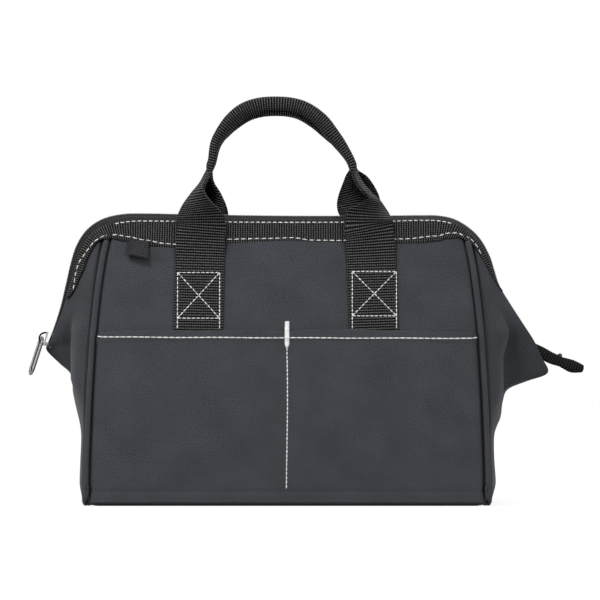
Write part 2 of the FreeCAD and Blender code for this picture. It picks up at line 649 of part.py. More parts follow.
half_thick = worth("tail_thickness") / 2
half_wide = worth("tail_width") / 2
tail_length = worth("tail_length")
joined_end = bar(right_tip, root_axes, Vector(gap, -half_thick, -coil_top),
                 Vector(worth("tail_root"), half_thick, half_tape))
strip = bar(tail_start, tail_axes, Vector(0, -half_thick, -half_wide),
            Vector(tail_length, half_thick, half_wide))
feature("zip_tail", joined_end.fuse(strip).removeSplitter())

tab_cloth = worth("tail_tab_cloth")
tab_end = tail_length + tab_cloth + gap
tab_start = tab_end - worth("tail_tab_length")
tab_thick = half_thick + gap + tab_cloth
fold = bar(tail_start, tail_axes, Vector(tab_start, -tab_thick, -half_wide - tab_cloth),
           Vector(tab_end, tab_thick, half_wide + tab_cloth))
past_side = half_wide + 2 * tab_cloth
inside_fold = bar(tail_start, tail_axes, Vector(tab_start - tab_cloth, tab_cloth - tab_thick, -past_side),
                  Vector(tail_length + gap, tab_thick - tab_cloth, past_side))
feature("zip_tail_tab", fold.cut(inside_fold))

stop = worth("stop_size")
stop_low = Vector(tab_start - gap - stop, -half_thick, half_wide)
feature("zip_stop", bar(tail_start, tail_axes, stop_low, stop_low + Vector(stop, 2 * half_thick, stop)))

doc.recompute()
broken = [thing.Label for thing in doc.Objects if {"Invalid", "Error"} & set(thing.State)]
for node, thing in nodes.items():
    if thing.Shape.isNull() or not thing.Shape.isValid():
        broken.append(node)
    elif len(thing.Shape.Solids) != 1:
        broken.append(f"{node} has {len(thing.Shape.Solids)} solids")
if broken:
    raise RuntimeError("these failed: " + ", ".join(broken))

os.makedirs("parts", exist_ok=True)
for node, thing in nodes.items():
    thing.Shape.exportStep(f"parts/{node}.step")
print(len(nodes), "sub-parts written")
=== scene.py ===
import bisect
import json
import math

import bmesh
import bpy
from mathutils import Matrix, Vector


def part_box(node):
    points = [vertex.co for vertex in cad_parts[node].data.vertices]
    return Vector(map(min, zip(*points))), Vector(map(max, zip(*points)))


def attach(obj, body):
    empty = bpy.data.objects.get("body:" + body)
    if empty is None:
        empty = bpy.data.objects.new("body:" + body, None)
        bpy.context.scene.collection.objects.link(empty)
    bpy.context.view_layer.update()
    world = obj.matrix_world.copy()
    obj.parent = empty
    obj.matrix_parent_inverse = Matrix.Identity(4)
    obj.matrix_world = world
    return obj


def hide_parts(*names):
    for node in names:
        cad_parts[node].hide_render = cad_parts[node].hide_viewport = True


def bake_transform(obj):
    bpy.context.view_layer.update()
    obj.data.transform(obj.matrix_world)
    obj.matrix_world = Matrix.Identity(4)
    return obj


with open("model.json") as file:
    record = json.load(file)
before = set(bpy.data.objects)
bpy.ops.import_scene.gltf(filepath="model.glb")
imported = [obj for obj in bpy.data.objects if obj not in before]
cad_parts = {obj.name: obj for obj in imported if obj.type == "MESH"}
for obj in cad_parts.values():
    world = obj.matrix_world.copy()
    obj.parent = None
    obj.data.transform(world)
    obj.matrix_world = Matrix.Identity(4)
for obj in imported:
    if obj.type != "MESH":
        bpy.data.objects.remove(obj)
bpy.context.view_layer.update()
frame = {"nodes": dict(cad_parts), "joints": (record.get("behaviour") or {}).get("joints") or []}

# Bottom panel and base board: the floor of the bag is one piece of coated cloth with a stiff black sheet of
# polyethylene lying in it. The cloth is turned up at its two ends, where the gussets are sewn to it.
MM = 0.001
CLOTH_LIGHT = "#54575d"
CLOTH_DARK = "#191b1f"
# Painted shade darkens the cloth in a seam where another piece or fold is nearer than this
SEAM_SHADE = 4
BOTTOM_CLOTH = 1.6
# The floor lies this far above the ground and stops this far short of the base's long edges
BOTTOM_RISE = 0.2
BOTTOM_SHORT = 1.5
TURN_UP = 14
TURN_RADIUS = 5
# The middle of each turned-up end leans out by this much, towards the gusset
TURN_FLARE = 3.8
BOARD_GRIT = 1.5


def linear(hex_colour):
    """An sRGB hex colour as linear red, green, blue and alpha."""
    shares = [int(hex_colour[i:i + 2], 16) / 255 for i in (1, 3, 5)]
    return [s / 12.92 if s <= 0.04045 else ((s + 0.055) / 1.055) ** 2.4 for s in shares] + [1.0]


def add(tree, kind, settings=None, inputs=None, stops=()):
    """Adds a shader node. Settings are its own options, inputs are plain values or other nodes' outputs, and
    stops are the places and colours of a colour ramp."""
    made = tree.nodes.new("ShaderNode" + kind)
    for name, value in (settings or {}).items():
        setattr(made, name, value)
    for name, value in (inputs or {}).items():
        if isinstance(value, bpy.types.NodeSocket):
            tree.links.new(value, made.inputs[name])
        else:
            made.inputs[name].default_value = value
    for i, (place, hex_colour) in enumerate(stops):
        made.color_ramp.elements[i].position = place
        made.color_ramp.elements[i].color = linear(hex_colour)
    return made


def new_material(name, **sockets):
    """A material, its nodes and its shader, with constant numbers set on the shader's own sockets."""
    material = bpy.data.materials.new(name)
    material.use_nodes = True
    shader = material.node_tree.nodes["Principled BSDF"]
    for socket, value in sockets.items():
        shader.inputs[socket.replace("_", " ")].default_value = value
    return material, material.node_tree, shader


def colour_and_relief(tree, shader, colour, height, strength, depth):
    """Gives a material its colour, and a relief that follows a height and is a depth in mm."""
    tree.links.new(colour, shader.inputs["Base Color"])
    bump = add(tree, "Bump", inputs={"Height": height, "Strength": strength, "Distance": depth * MM})
    tree.links.new(bump.outputs["Normal"], shader.inputs["Normal"])


def ridges(tree, where, axis, period, turn=0.0, uneven=0.0):
    """Woven ridges across one axis of a map in mm, one ridge every period, wavy by an uneven share."""
    turned = add(tree, "Mapping", inputs={"Vector": where, "Rotation": (0, 0, math.radians(turn))})
    wave = add(tree, "TexWave", {"wave_type": "BANDS", "bands_direction": axis, "wave_profile": "SIN"},
               {"Vector": turned.outputs["Vector"], "Scale": math.pi / 10 / period, "Distortion": uneven,
                "Detail": 1.0, "Detail Scale": 1.0})
    return wave.outputs["Fac"]


def polyester_cloth(name):
    """Woven polyester with a coated back: dull and close, with fine uneven diagonal threads and faint cloudy
    patches. Painted shade darkens its colour deep in seams, wherever another piece or fold is near and where
    the mesh is marked as seam. The real threads are 0.5 mm apart, so that the grain is drawn about three
    times as coarse."""
    grain, fuzz_size, patch_size = 1.55, 0.9, 30
    fuzz_share, painted_seam_shade = 0.6, 0.85
    material, tree, shader = new_material(
        name, Roughness=0.8, Specular_IOR_Level=0.2, Sheen_Weight=0.1, Sheen_Roughness=0.5)
    where = add(tree, "TexCoord").outputs["UV"]
    warp = ridges(tree, where, "X", grain, 45, 2.5)
    weft = ridges(tree, where, "Y", grain, 45, 2.5)
    crossed = add(tree, "Math", {"operation": "MULTIPLY"}, {0: warp, 1: weft}).outputs[0]
    patches = add(tree, "TexNoise", inputs={"Vector": where, "Scale": 1 / patch_size,
                                            "Detail": 3.0}).outputs["Fac"]
    fuzz = add(tree, "TexNoise", inputs={"Vector": where, "Scale": 1 / fuzz_size, "Detail": 2.0,
                                         "Roughness": 0.6}).outputs["Fac"]
    shown = add(tree, "MapRange", inputs={"Value": patches, "From Min": 0.3, "From Max": 0.7,
                                          "To Min": 0.1, "To Max": 0.4}).outputs["Result"]
    threads = add(tree, "Math", {"operation": "MULTIPLY"}, {0: crossed, 1: shown}).outputs[0]
    mottled = add(tree, "Math", {"operation": "MULTIPLY_ADD"},
                  {0: fuzz, 1: fuzz_share, 2: threads}).outputs[0]
    shade = add(tree, "MapRange", inputs={"Value": mottled, "From Min": 0.16,
                                          "From Max": 0.64}).outputs["Result"]
    colour = add(tree, "Mix", {"data_type": "RGBA"}, {"Factor": shade})
    colour.inputs[6].default_value = linear(CLOTH_DARK)
    colour.inputs[7].default_value = linear(CLOTH_LIGHT)
    # Painted shade: the colour is darkened where other pieces or folds are near, and where the mesh's seam
    # mark is set
    clear = add(tree, "AmbientOcclusion", {"samples": 8}, {"Distance": SEAM_SHADE * MM}).outputs["AO"]
    painted_occlusion_light = add(tree, "MapRange", inputs={"Value": clear, "From Min": 0.45, "From Max": 0.9,
                                               "To Min": 0.12}).outputs["Result"]
    marked = add(tree, "Attribute", {"attribute_name": "seam"}).outputs["Fac"]
    painted_mark_light = add(tree, "Math", {"operation": "MULTIPLY_ADD"},
                     {0: marked, 1: -painted_seam_shade, 2: 1.0}).outputs[0]
    light = add(tree, "Math", {"operation": "MULTIPLY"}, {0: painted_occlusion_light, 1: painted_mark_light}).outputs[0]
    shaded = add(tree, "VectorMath", {"operation": "SCALE"}, {0: colour.outputs[2], "Scale": light})
    colour_and_relief(tree, shader, shaded.outputs[0], mottled, 0.3, 0.25)
    return material


def measured(spots):
    """A row of points with each one's distance from the first."""
    distances = [0.0]
    for a, b in zip(spots, spots[1:]):
        distances.append(distances[-1] + (b - a).length)
    return distances, spots


def bent_grid(columns, rows, place):
    """A grid of faces bent into shape. place gives each point in mm from its shares across and along, and the
    weave map holds distances over the cloth from its middle line, so that the weave keeps its scale."""
    spots = [[place(i / columns, j / rows) for i in range(columns + 1)] for j in range(rows + 1)]
    middle = columns // 2
    along = measured([row[middle] for row in spots])[0]
    across = [measured(row)[0] for row in spots]
    bm = bmesh.new()
    weave = bm.loops.layers.uv.new("weave")
    bmesh.ops.create_grid(bm, x_segments=columns, y_segments=rows, size=0.5)
    places = {}
    for vert in bm.verts:
        places[vert] = round((vert.co.x + 0.5) * columns), round((vert.co.y + 0.5) * rows)
    for vert, (i, j) in places.items():
        vert.co = spots[j][i]
        for loop in vert.link_loops:
            loop[weave].uv = (across[j][i] - across[j][middle], along[j])
    return bm


def finished(name, bm, material, side=1, cloth=0.0, flip=False):
    """An object made from a mesh drawn in mm. The rear side is the mirror image of the front one,
    and cloth gets its thickness inwards."""
    if side < 0:
        bmesh.ops.scale(bm, vec=(1, -1, 1), verts=bm.verts)
    if (side < 0) != flip:
        bmesh.ops.reverse_faces(bm, faces=bm.faces)
    bmesh.ops.scale(bm, vec=(MM, MM, MM), verts=bm.verts)
    mesh = bpy.data.meshes.new(name)
    bm.to_mesh(mesh)
    bm.free()
    mesh.shade_smooth()
    mesh.materials.append(material)
    piece = bpy.data.objects.new(name, mesh)
    bpy.context.collection.objects.link(piece)
    if cloth:
        layer = piece.modifiers.new("cloth", "SOLIDIFY")
        layer.thickness = cloth * MM
        layer.offset = -1
    return piece


def box_mm(node):
    """A node's lowest and highest corners in mm."""
    return [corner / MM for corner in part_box(node)]


def coat(node, material):
    """Gives a node of the CAD a material."""
    materials = frame["nodes"][node].data.materials
    materials.clear()
    materials.append(material)


cloth_material = polyester_cloth("polyester_cloth")
bottom_high = box_mm("bottom_panel")[1]
base_half, base_depth = bottom_high.x, bottom_high.y


def bottom_place(across, along):
    """The floor runs flat from end to end and turns up round a small radius at each, with the middle of the
    turned-up cloth leaning out."""
    flat = base_half - TURN_RADIUS
    arc = TURN_RADIUS * math.pi / 2
    run = (2 * across - 1) * (flat + arc + TURN_UP - TURN_RADIUS)
    side = math.copysign(1, run)
    past = max(abs(run) - flat, 0)
    turn = min(past / TURN_RADIUS, math.pi / 2)
    out = min(abs(run), flat) + TURN_RADIUS * math.sin(turn)
    up = TURN_RADIUS * (1 - math.cos(turn)) + max(past - arc, 0)
    out += TURN_FLARE * (up / TURN_UP) ** 2 * max(math.sin(math.pi * along), 0) ** 0.5
    y = (2 * along - 1) * (base_depth - BOTTOM_SHORT)
    return Vector((side * out, y, BOTTOM_CLOTH + BOTTOM_RISE + up))


bottom = finished("bottom_cloth", bent_grid(90, 24, bottom_place),
                  cloth_material, cloth=BOTTOM_CLOTH, flip=True)
bottom.modifiers["cloth"].offset = 1
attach(bottom, "base")
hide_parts("bottom_panel")

# Extruded polyethylene sheet: black and half dull, with a fine grit
board_material, board_tree, board_shader = new_material("black_polyethylene", Roughness=0.5)
board_where = add(board_tree, "TexCoord").outputs["Object"]
board_grit = add(board_tree, "TexNoise", inputs={"Vector": board_where,
                                                 "Scale": 1 / (BOARD_GRIT * MM)}).outputs["Fac"]
board_colour = add(board_tree, "ValToRGB", inputs={"Fac": board_grit}, stops=((0, "#141416"), (1, "#26272a")))
colour_and_relief(board_tree, board_shader, board_colour.outputs["Color"], board_grit, 0.2, 0.2)
coat("base_board", board_material)

# Front and rear panels: each wall is one sheet of the same cloth with a lining, cut narrower towards the
# mouth and swelling softly outwards. Its side edges roll in where they are sewn to the piping, and its foot
# is sewn to the floor.
SIDES = (("front", 1), ("rear", -1))
WALL_CLOTH = 2.0
PANEL_HALF = 1.2
WALL_SWELL = 5.5
# The swell fades out at this distance from the middle, and dents make it uneven
SWELL_HALF = 152
DENT = 0.45
# The side edges stop short of the piping's middle, and roll in over a width and by a depth
EDGE_SHORT = 0.9
ROLL_WIDTH = 4
EDGE_ROLL = 3.2
# The cloth starts below the hinge and stops short of the wall's top
PANEL_FOOT = 2.2
PANEL_TUCK = 9
# The piping seen square to the wall: its distance from the middle, and its height up the wall
PIPING_ROUTE = [(155.5, 0), (155.1, 30), (154.2, 60), (152.9, 92), (150.3, 137), (147.0, 172), (143.6, 197),
                (139.7, 217), (137.0, 232)]
PIPING_STEPS = 100
joints = {joint["name"]: joint for joint in frame["joints"]}
hinge = Vector(joints["front_wall_open"]["pos_m"]) / MM
panel_high = box_mm("front_panel")[1]
# The wall's lean, from the hinge to the top of the panel's middle plane, found in two steps
first_lean = math.atan2(panel_high.y - hinge.y, panel_high.z - hinge.z)
lean = math.atan2(panel_high.y - PANEL_HALF * math.cos(first_lean) - hinge.y,
                  panel_high.z - PANEL_HALF * math.sin(first_lean) - hinge.z)
up_wall = Vector((0, math.sin(lean), math.cos(lean)))
out_wall = Vector((0, -math.cos(lean), math.sin(lean)))
wall_height = (panel_high.z - hinge.z) / math.cos(lean)


def limited(share):
    """A share held between 0 and 1."""
    return min(max(share, 0), 1)


def through(points, share):
    """A smooth curve through a row of points, 0 at the first and 1 at the last."""
    last = len(points) - 1
    spot = limited(share) * last
    i = min(int(spot), last - 1)
    t = spot - i
    a, b, c, d = (Vector(points[min(max(k, 0), last)]) for k in range(i - 1, i + 3))
    curve = 2 * b + (c - a) * t + (2 * a - 5 * b + 4 * c - d) * t ** 2 + (3 * b - a - 3 * c + d) * t ** 3
    return 0.5 * curve


piping_curve = [through(PIPING_ROUTE, i / PIPING_STEPS) for i in range(PIPING_STEPS + 1)]
piping_heights = [spot.y for spot in piping_curve]


def step_at(marks, value):
    """The step of a rising row of marks in which a value lies, by the number of the mark at its end."""
    return min(max(bisect.bisect(marks, value), 1), len(marks) - 1)


def piping_out(v):
    """How far the piping lies from the middle, at a height up the wall."""
    i = step_at(piping_heights, v)
    low, high = piping_curve[i - 1], piping_curve[i]
    return low.x + (high.x - low.x) * (v - low.y) / (high.y - low.y)


def swell(x, v):
    """The wall's soft belly and a few shallow dents, in mm outwards."""
    share = limited(v / wall_height)
    fade = math.sin(math.pi * share) * max(1 - (x / SWELL_HALF) ** 2, 0)
    dents = math.sin(x / 31 + 0.6) * math.sin(v / 24) + 0.6 * math.sin(x / 17 - v / 29 + 2)
    return fade * (WALL_SWELL + DENT * dents)


def wall(x, v, w=0.0):
    """A point of the front wall: x across, v up the cloth, w outwards from its middle plane."""
    return Vector((x, hinge.y, hinge.z)) + up_wall * v + out_wall * (w + swell(x, v))


def panel_place(across, along):
    """Up the panel's outer face from its foot, with its side edges rolled in."""
    v = along * (wall_height - PANEL_TUCK + PANEL_FOOT) - PANEL_FOOT
    half = piping_out(v) - EDGE_SHORT
    x = (2 * across - 1) * half
    roll = max(abs(x) - (half - ROLL_WIDTH), 0) / ROLL_WIDTH
    return wall(x, v, PANEL_HALF - EDGE_ROLL * roll ** 2)


def bends_at_base(piece):
    """Bakes the placing of cloth sewn to the floor along its foot into its mesh."""
    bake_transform(piece)


for name, side in SIDES:
    panel = finished(f"{name}_panel_cloth", bent_grid(80, 60, panel_place),
                     cloth_material, side, WALL_CLOTH)
    bends_at_base(panel)
    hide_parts(f"{name}_panel")

# Pockets: a flat sheet across the lower half of each wall, hemmed along its top, sewn down at its sides and
# its foot and with white thread along its middle, so that it stands off the wall in two shallow pouches.
POCKET_TOP = 136.8
POCKET_CLOTH = 1.4
# The outer face stands this far above the panel's where it is sewn down
POCKET_FACE = 1.9
# A pouch stands off more at its open top and in its belly, and rises over these widths from its seams
POUCH_TOP, POUCH_BELLY = 2.6, 0.7
FROM_DIVIDER, FROM_SIDE = 22, 20
# The pouch and the sheet stop short of the piping's middle, where the sheet rolls in
POUCH_SHORT, POCKET_SHORT, POCKET_ROLL = 2.6, 2.2, 5.5
# The hem is a second layer, and its fold turns back at the top
HEM_WIDTH, HEM_STEP, HEM_TURN = 9, 0.7, 1.2
# The top edge waves a little
TOP_SAG = 0.5
# The seam along the foot: its height, depth and width
FOOT_SEAM, FOOT_SEAM_DEEP, FOOT_SEAM_WIDE = 7, 0.5, 1.6


def pocket_lift(x, v):
    """The pocket sheet's outer face above the panel: pouches either side of the sewn middle."""
    share = limited(v / POCKET_TOP)
    half = piping_out(v) - POUCH_SHORT
    pouch = min(abs(x) / FROM_DIVIDER, 1) * min((half - abs(x)) / FROM_SIDE, 1)
    pouch = max(pouch, 0) ** 0.6
    seam = FOOT_SEAM_DEEP * math.exp(-((v - FOOT_SEAM) / FOOT_SEAM_WIDE) ** 2)
    return POCKET_FACE + (POUCH_TOP * share ** 1.1 + POUCH_BELLY * math.sin(math.pi * share)) * pouch - seam


def edge_roll(x, v):
    """How far the pocket's edge sinks in beside the piping."""
    half = piping_out(min(v, POCKET_TOP)) - POCKET_SHORT
    return POCKET_ROLL * (max(abs(x) - (half - ROLL_WIDTH), 0) / ROLL_WIDTH) ** 2


def pocket_face(x, v):
    """The pocket's outer face before the wall's middle plane, with the hem's layer and the rolled edges."""
    hem = HEM_STEP * limited((v - POCKET_TOP + HEM_WIDTH) / HEM_TURN)
    return PANEL_HALF + pocket_lift(x, v) + hem - edge_roll(x, v)


def pocket_place(across, along):
    """Up the pocket's outer face from its foot, and over the fold of the hem."""
    v = along * (POCKET_TOP + HEM_TURN * 2 + PANEL_FOOT) - PANEL_FOOT
    x = (2 * across - 1) * (piping_out(min(v, POCKET_TOP)) - POCKET_SHORT)
    over = max(v - POCKET_TOP, 0) / (HEM_TURN * 2)
    sag = TOP_SAG * math.sin(x / 24) * min(v / POCKET_TOP, 1) ** 4
    return wall(x, min(v, POCKET_TOP) + sag - 0.8 * over, pocket_face(x, v) - 1.6 * over ** 2)


def thread():
    """White polyester sewing thread: bright, soft and slightly uneven in tone along the row."""
    tone_length = 7
    material, tree, shader = new_material("white_thread", Roughness=0.7, Specular_IOR_Level=0.3)
    where = add(tree, "TexCoord").outputs["Object"]
    tone = add(tree, "TexNoise", inputs={"Vector": where, "Scale": 1 / (tone_length * MM),
                                         "Detail": 2.0}).outputs["Fac"]
    colour = add(tree, "ValToRGB", inputs={"Fac": tone}, stops=((0.3, "#e2e2e0"), (0.6, "#ffffff")))
    tree.links.new(colour.outputs["Color"], shader.inputs["Base Color"])
    return material


spindle_bm = bmesh.new()
bmesh.ops.create_uvsphere(spindle_bm, u_segments=6, v_segments=4, radius=1)
spindle = bpy.data.meshes.new("spindle")
spindle_bm.to_mesh(spindle)
spindle_bm.free()


def stamp(bm, matrix):
    """Adds a copy of the small spindle, moved and stretched."""
    copy = spindle.copy()
    copy.transform(matrix)
    bm.from_mesh(copy)
    bpy.data.meshes.remove(copy)


def at(run, distance):
    """The point of a measured row at a distance along it."""
    distances, spots = run
    i = step_at(distances, distance)
    share = (distance - distances[i - 1]) / (distances[i] - distances[i - 1])
    return spots[i - 1].lerp(spots[i], share)


def sew(bm, spots, period, filled, thick):
    """Lays a row of stitches along points in mm, one every period, each a spindle of thread half sunk in the
    cloth that fills a share of the period."""
    run = measured(spots)
    count = max(round(run[0][-1] / period), 1)
    step = run[0][-1] / count
    for i in range(count):
        first, last = at(run, i * step), at(run, (i + filled) * step)
        turn = (last - first).to_track_quat("X", "Z").to_matrix().to_4x4()
        size = Matrix.Diagonal((0.5 * (last - first).length + 0.25, 0.5 * thick, 0.5 * thick, 1))
        stamp(bm, Matrix.Translation((first + last) / 2) @ turn @ size)


# Each kind of row: its period, the share filled with thread, and the thread's thickness
POCKET_STITCH = (4.7, 1.12, 1.15)
DIVIDER_STITCH = (3.5, 0.9, 1.1)
# The row under the hem: its height at one place, its drop for each mm to the right, its waver and its ends
POCKET_ROW = POCKET_TOP - 7
ROW_PLACE, ROW_DROP, ROW_WAVER = -52, 0.0037, 0.15
ROW_SHORT = 3.5
DIVIDER_TOP, DIVIDER_FOOT = 123, 9
# The bar tack: its height, and its close rows across the divider
BAR_FOOT, BAR_TOP = 123.2, 144.3
BAR_WIDTH, BAR_ROWS, BAR_THREAD = 4.2, 26, 1.15
thread_material = thread()


def on_pocket(x, v, above=0.0):
    """A point on the pocket's outer face."""
    return wall(x, v, pocket_face(x, v) + above)


def on_row(x):
    """A point of the row under the hem, which looks straight and drops a little to the right."""
    level = on_pocket(ROW_PLACE, POCKET_ROW).z - ROW_DROP * (x - ROW_PLACE)
    v = POCKET_ROW
    for _ in range(4):
        v += (level - on_pocket(x, v).z) / up_wall.z
    return on_pocket(x, v + ROW_WAVER * math.sin(x / 11), 0.1 + 0.5 * edge_roll(x, v))


def sew_bar_tack(bm):
    """Close short rows across the divider's top, over the hem's edge and on to the panel."""
    for i in range(BAR_ROWS):
        v = BAR_FOOT + (BAR_TOP - BAR_FOOT) * i / (BAR_ROWS - 1)
        half = BAR_WIDTH / 2 if v > BAR_FOOT + 1 else BAR_WIDTH / 3
        over = max(v - POCKET_TOP, 0)
        middle = on_pocket(0, min(v, POCKET_TOP), 0.35)
        middle += up_wall * over - out_wall * min(1.3 * over, 2.6)
        aside = Vector((half, 0, 0))
        sew(bm, [middle - aside, middle + aside + up_wall * 0.4], 2 * half, 1, BAR_THREAD)


for name, side in SIDES:
    pocket = finished(f"{name}_pocket_cloth", bent_grid(96, 100, pocket_place),
                      cloth_material, side, POCKET_CLOTH)
    bends_at_base(pocket)
    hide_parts(f"{name}_pocket")

    rows = bmesh.new()
    reach = piping_out(POCKET_ROW) - ROW_SHORT
    sew(rows, [on_row(-reach + i * reach / 60) for i in range(121)], *POCKET_STITCH)
    drop = DIVIDER_TOP - DIVIDER_FOOT
    divider = [on_pocket(0.4 * math.sin(i / 9), DIVIDER_TOP - i * drop / 40, 0.1) for i in range(41)]
    sew(rows, divider, *DIVIDER_STITCH)
    sew_bar_tack(rows)
    stitches = finished(f"{name}_pocket_stitches", rows, thread_material, side=side)
    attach(stitches, f"{name}_wall")

# Piping: a round cord in a strip of the cloth, sewn into the seams between the walls and the ends, and along
# the two ends of the base. The seam leaves a narrow groove on both sides of it.
ENDS = (("left", -1), ("right", 1))
PIPING_RADIUS = 2.35
# The cord starts below the hinge and runs up the wall, a little before its middle plane
PIPING_FOOT, PIPING_RUN, PIPING_FORWARD = -1.5, 219, 0.2
# Along the base it stops short of the long edges
BASE_PIPING_SHORT = 2
piping_material = polyester_cloth("piping_cloth")


def closed(bm):
    """Joins the long edges of a round piece and closes its ends."""
    bmesh.ops.remove_doubles(bm, verts=bm.verts, dist=0.001)
    rims = [edge for edge in bm.edges if edge.is_boundary]
    if rims:
        bmesh.ops.holes_fill(bm, edges=rims)
    bmesh.ops.recalc_face_normals(bm, faces=bm.faces)
    return bm


def tube(route, radius, sides, rows):
    """A round piece along a route, given as a function of its share, with its ends rounded off."""
    def place(across, along):
        here = route(along)
        ahead = (route(min(along + 0.004, 1)) - route(max(along - 0.004, 0))).normalized()
        runs_back = abs(ahead.y) > 0.95
        aside = (ahead.orthogonal() if runs_back else ahead.cross((0, 1, 0))).normalized()
        up = aside.cross(ahead)
        angle = -2 * math.pi * across
        near_end = min(along, 1 - along) * rows
        thick = radius * min(near_end / 2, 1) ** 0.5
        return here + (aside * math.cos(angle) + up * math.sin(angle)) * thick

    return closed(bent_grid(sides, rows, place))


for end_name, end in ENDS:
    for name, side in SIDES:
        def piping_route(share):
            v = PIPING_FOOT + share * PIPING_RUN
            return wall(end * piping_out(max(v, 0)), v, PIPING_FORWARD)

        piping = finished(f"{name}_{end_name}_piping_cord", tube(piping_route, PIPING_RADIUS, 14, 70),
                          piping_material, side)
        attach(piping, f"{name}_wall")
        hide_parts(f"{name}_{end_name}_piping")

    def base_route(share):
        y = (2 * share - 1) * (base_depth - BASE_PIPING_SHORT)
        return Vector((end * PIPING_ROUTE[0][0], y, PIPING_RADIUS))

    piping = finished(f"{end_name}_base_piping_cord", tube(base_route, PIPING_RADIUS, 14, 60),
                      piping_material)
    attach(piping, "base")
    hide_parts(f"{end_name}_base_piping")

# Gussets with their wings: the ends of the bag, cloth from piping to piping. Below they are flat, and further
# up the closed zip folds them outwards into a thin pointed wing with a crease beside it.
END_CLOTH = 1.4
# The crease's distance from the bag's middle, and how far it flares out above the wing tip at each end
CREASE_OUT = 168.3
CREASE_FLARE = {-1: 0, 1: 6}
CREASE_FLARE_FROM, CREASE_FLARE_OVER = 114, 20
# The mouth's edge lies this far before the zip's middle plane, and comes to it over a ramp at each wing tip
TAPE_FRONT = -10.5
TIP_RAMP = 45
# The cloth's edge stands before the tape, and at the left wing tip before the slider's inner plate
TAPE_COVER, TAPE_RAMP = 1.2, 10
SLIDER_COVER, SLIDER_RAMP = 6, 2.5
# The groove beside the piping: the share across the cloth where it is deepest, its depth, its place outwards
GROOVE_AT, GROOVE_DEEP, GROOVE_OUT = 0.05, 1.8, 2.8
SEAM_SUNK = 1.6
# Shade is painted on the cloth through the mesh's seam mark, out to this distance from the piping's middle
# and fading over the last of it
PAINTED_SHADE_EDGE, PAINTED_SHADE_FADE = 5, 1.4
# The plain cloth bows out most at one height above the base, and no more at the other
END_BOW, BOW_FOOT, BOW_TOP = 2.0, 15, 150
# Along the zip the fold fades out upwards, up to one height and over the other
FOLD_TOP, FOLD_OVER = 150, 28
# The crease and the valley, as shares of the seam's depth and of the rise from the seam to the edge
CREASE_DEPTH, CREASE_RISE = 0.47, 0.4
VALLEY_DEPTH, VALLEY_RISE = 0.16, 0.6
VALLEY_IN, VALLEY_FORWARD = 1.5, 2
# How far the cloth bulges beside the crease, and the fin beside the valley
WING_BELLY, FIN_BELLY = 2.5, 1.5
# Above this height up the wall the seam rises less than the zip's line
CROWN_FROM, CROWN_SHARE = 205, 0.55
# The zip's line seen from the front, x and z, from the left wing tip over the top to the right one
ZIP_POINTS = [
    (-187.5, 117.5), (-181, 134), (-175.5, 151), (-171, 170), (-167.3, 186), (-163, 199), (-155.5, 210.5),
    (-144, 218.6), (-129, 222.4), (-110, 223.0), (-60, 222.0), (0, 221.2), (60, 221.2), (105, 221.6),
    (119, 221.2), (131, 218.3), (142, 211.5), (150.5, 203), (157, 192), (161.5, 180), (166.5, 167),
    (175, 152.5), (184, 138.6), (193, 124.5), (198.5, 112.5), (203.5, 100),
]
# The points where the two ends stop, on the mouth's crown
LEFT_CROWN, RIGHT_CROWN = 8, 14
# Each end's outline below its wing tip: the seam's height up the wall, the outline's x and z, and the share
# folded out
LEFT_OUTLINE = [
    (0, -157.6, 3, 0), (12, -160.4, 14.5, 0), (31, -160.2, 33, 0), (53, -160, 53, 0),
    (70, -163.8, 69.5, 0.1), (86, -167, 84.5, 0.5), (97, -168.6, 98.5, 1), (106.5, -177.5, 107.3, 1),
]
RIGHT_OUTLINE = [
    (0, 158, 3, 0), (12, 162.2, 14.5, 0), (33, 161, 35, 0), (52, 161.6, 52.5, 0),
    (64, 166.5, 65, 0.2), (77, 168.4, 78, 0.6), (85.5, 172.5, 87.2, 1), (92, 187, 93.4, 1),
]
# How far inward from the zip's line the cloth's edge and the coil lie, at places among the line's points
CLOTH_EDGE = [(0, 0), (1, 0), (1.7, 0.8), (2.4, 1.9), (4, 2.8), (6, 3.2), (8, 3.4), (10, 2.8), (12, 2.4),
              (13, 1.5), (17, 1.2), (19, 0.8), (20.5, 0), (25, 0)]
COIL_IN = [(0, 0), (16, 0), (18, 0.6), (20, 1.6), (21, 2.4), (25, 2.4)]
ZIP_STEPS = 600
zip_run = measured([through(ZIP_POINTS, i / ZIP_STEPS) for i in range(ZIP_STEPS + 1)])
zip_length = zip_run[0][-1]
zip_mark = [zip_run[0][i * ZIP_STEPS // (len(ZIP_POINTS) - 1)] for i in range(len(ZIP_POINTS))]


def zip_distance(place):
    """Distance along the zip's line of a place among its points."""
    i = min(int(place), len(zip_mark) - 2)
    return zip_mark[i] + (zip_mark[i + 1] - zip_mark[i]) * (place - i)


def ease(low, high, value):
    """0 below low, 1 above high, and a smooth rise between."""
    share = limited((value - low) / (high - low))
    return share * share * (3 - 2 * share)


def smooth_between(places, distance):
    """A value given at some places along the zip, eased from each to the next."""
    marks = [zip_distance(place) for place, value in places]
    i = step_at(marks, distance)
    low, high = places[i - 1][1], places[i][1]
    return low + (high - low) * ease(marks[i - 1], marks[i], distance)


def mouth(distance, inward):
    """A point beside the zip's line, as x and z: distance along it, then inward from it."""
    here = at(zip_run, distance)
    ahead = (at(zip_run, distance + 1.5) - at(zip_run, distance - 1.5)).normalized()
    return here + Vector((ahead.y, -ahead.x)) * inward


def wing_open(distance):
    """How far the two sides stand apart at a place along the zip: not at the wing tips, fully past them."""
    return limited(min(distance, zip_length - distance) / TIP_RAMP)


